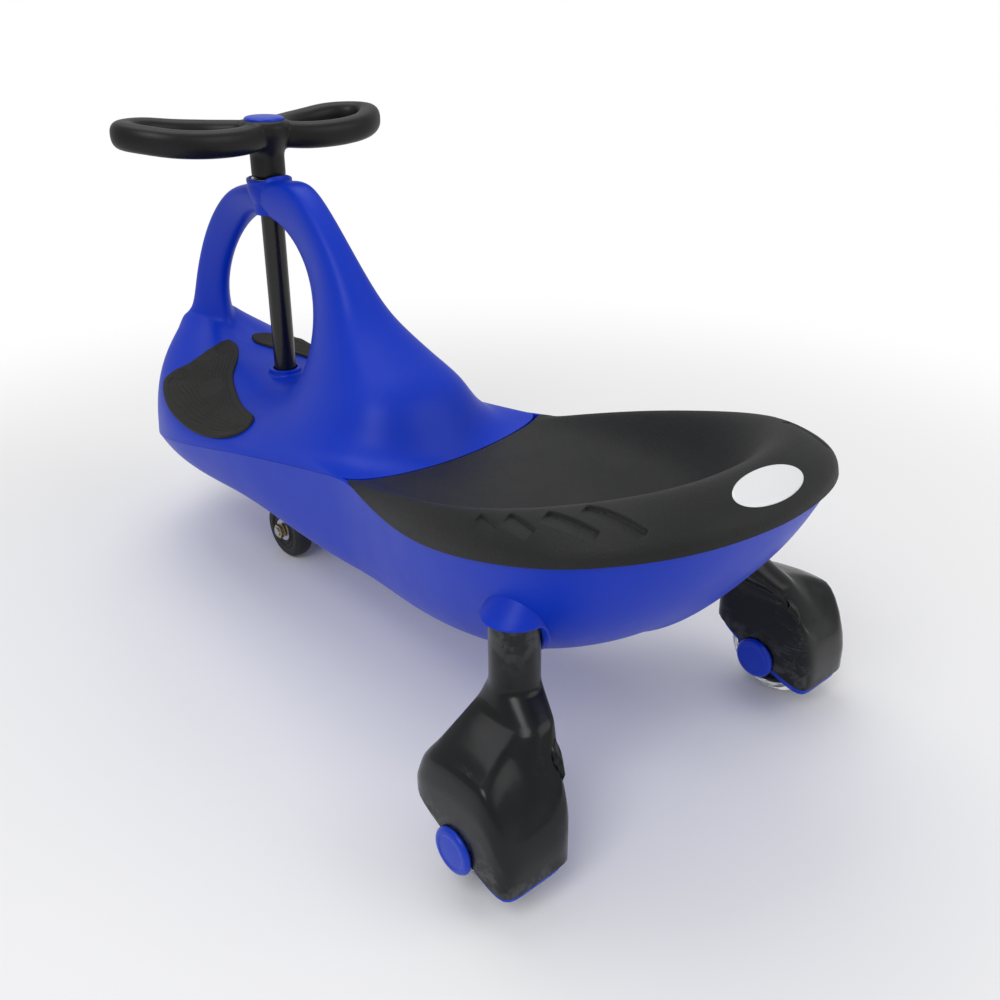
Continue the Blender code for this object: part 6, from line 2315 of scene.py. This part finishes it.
@dataclass
class Studio:
    """The pale floor, the soft light and the camera."""

    camera_place: Triple = (-0.6285, 0.4520, 0.4850)
    focal_pixels: float = 1031.954
    image_pixels: float = 1000.0
    sensor: float = 36.0
    heading: float = 41.38067
    pitch: float = 25.86266
    roll: float = -0.46613
    centre_pixels: Pair = (502.2386, 497.2671)
    floor_half: float = 30.0
    floor_colour: Colour = (0.93, 0.93, 0.93)
    sky: float = 0.52
    clear_from: float = 0.45
    clear_to: float = 1.10
    aim: Triple = (0.0, 0.0, 0.18)
    lamps: tuple[tuple[str, Triple, float, float], ...] = (
        ("key", (-0.7, 1.3, 1.7), 1.0, 13.0),
        ("fill", (-1.5, -0.9, 1.2), 1.2, 6.0),
        ("top", (0.6, -0.2, 1.9), 1.4, 9.0),
    )

    def camera(self) -> None:
        """Set the camera where the photograph was taken."""
        heading = math.radians(self.heading)
        pitch = math.radians(self.pitch)
        roll = math.radians(self.roll)
        level = Vector((math.cos(heading), -math.sin(heading), 0.0))
        ahead = level * math.cos(pitch) - UP * math.sin(pitch)
        above = level * math.sin(pitch) + UP * math.cos(pitch)
        right = ahead.cross(above)
        turned_right = right * math.cos(roll) + above * math.sin(roll)
        turned_up = above * math.cos(roll) - right * math.sin(roll)
        data = bpy.data.cameras.new("photograph_view")
        data.sensor_width = self.sensor
        data.lens = self.focal_pixels * self.sensor / self.image_pixels
        data.shift_x = (self.image_pixels / 2 - self.centre_pixels[0]) / self.image_pixels
        data.shift_y = (self.centre_pixels[1] - self.image_pixels / 2) / self.image_pixels
        data.clip_start = 0.01
        made = bpy.data.objects.new("photograph_view", data)
        bpy.context.scene.collection.objects.link(made)
        matrix = Matrix((turned_right, turned_up, -ahead)).transposed().to_4x4()
        made.matrix_world = Matrix.Translation(self.camera_place) @ matrix
        bpy.context.scene.camera = made

    def floor(self) -> None:
        """Lay the floor, which keeps the car's shadow and fades to white away from it."""
        half = self.floor_half
        spots = ((-half, -half), (half, -half), (half, half), (-half, half))
        corners = [Vector((x, y, 0.0)) for x, y in spots]
        mesh = bpy.data.meshes.new("floor")
        mesh.from_pydata(corners, [], [(0, 1, 2, 3)])
        made = new_piece("floor", mesh)
        material = bpy.data.materials.new("pale_floor")
        material.use_nodes = True
        tree = material.node_tree
        bench = NodeBench(tree)
        tree.nodes.remove(tree.nodes["Principled BSDF"])
        matt = bench.add("ShaderNodeBsdfDiffuse")
        matt.inputs["Color"].default_value = (*self.floor_colour, 1.0)
        bright = bench.add("ShaderNodeEmission")
        bright.inputs["Strength"].default_value = 1.0
        place = bench.add("ShaderNodeTexCoord").outputs["Object"]
        reach = bench.add("ShaderNodeVectorMath", operation="LENGTH")
        bench.feed(reach.inputs[0], place)
        far = bench.spread(reach.outputs["Value"], self.clear_from, self.clear_to, 0.0, 1.0)
        rays = bench.add("ShaderNodeLightPath")
        seen = bench.maths("MULTIPLY", far, rays.outputs["Is Camera Ray"])
        mix = bench.add("ShaderNodeMixShader")
        bench.feed(mix.inputs["Fac"], seen)
        bench.feed(mix.inputs[1], matt.outputs["BSDF"])
        bench.feed(mix.inputs[2], bright.outputs["Emission"])
        bench.feed(tree.nodes["Material Output"].inputs["Surface"], mix.outputs["Shader"])
        mesh.materials.append(material)

    def world(self) -> None:
        """Make the soft sky, which is white to the camera and through clear plastic."""
        world = bpy.data.worlds.new("studio")
        world.use_nodes = True
        bpy.context.scene.world = world
        tree = world.node_tree
        bench = NodeBench(tree)
        rays = bench.add("ShaderNodeLightPath")
        shown = bench.maths("MAXIMUM", rays.outputs["Is Camera Ray"], rays.outputs["Is Transmission Ray"])
        light = tree.nodes["Background"]
        light.inputs["Color"].default_value = (1.0, 1.0, 1.0, 1.0)
        strength = bench.maths("ADD", bench.maths("MULTIPLY", shown, 1.0 - self.sky), self.sky)
        bench.feed(light.inputs["Strength"], strength)

    def lamp(self, name: str, place: Point, size: float, power: float) -> None:
        """Hang a square soft lamp that looks at the car's middle.

        Args:
            name: The lamp's name.
            place: Where it hangs.
            size: Its width.
            power: Its power in watts.
        """
        data = bpy.data.lights.new(name, "AREA")
        data.shape = "SQUARE"
        data.size = size
        data.energy = power
        made = bpy.data.objects.new(name, data)
        bpy.context.scene.collection.objects.link(made)
        made.location = place
        made.rotation_euler = (Vector(self.aim) - Vector(place)).to_track_quat("-Z", "Y").to_euler()

    def build(self) -> None:
        """Set up the camera, the floor and the light."""
        self.camera()
        self.floor()
        self.world()
        for name, place, size, power in self.lamps:
            self.lamp(name, place, size, power)
        bpy.context.scene.view_settings.view_transform = "Standard"


def main() -> None:
    """Build and dress the whole car in the studio."""
    logging.basicConfig(level=logging.INFO, format="%(message)s")
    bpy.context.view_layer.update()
    Studio().build()
    shell = UpperShell()
    shell.build()
    FootPads().build(shell)
    LowerHull().build()
    SeatPanel().build()
    for side in Side:
        RearLeg(side).build()
    SteeringColumn().build()
    Handlebar().build()
    FrontTruck().build()
    Fasteners().build()


if __name__ == "__main__":
    main()
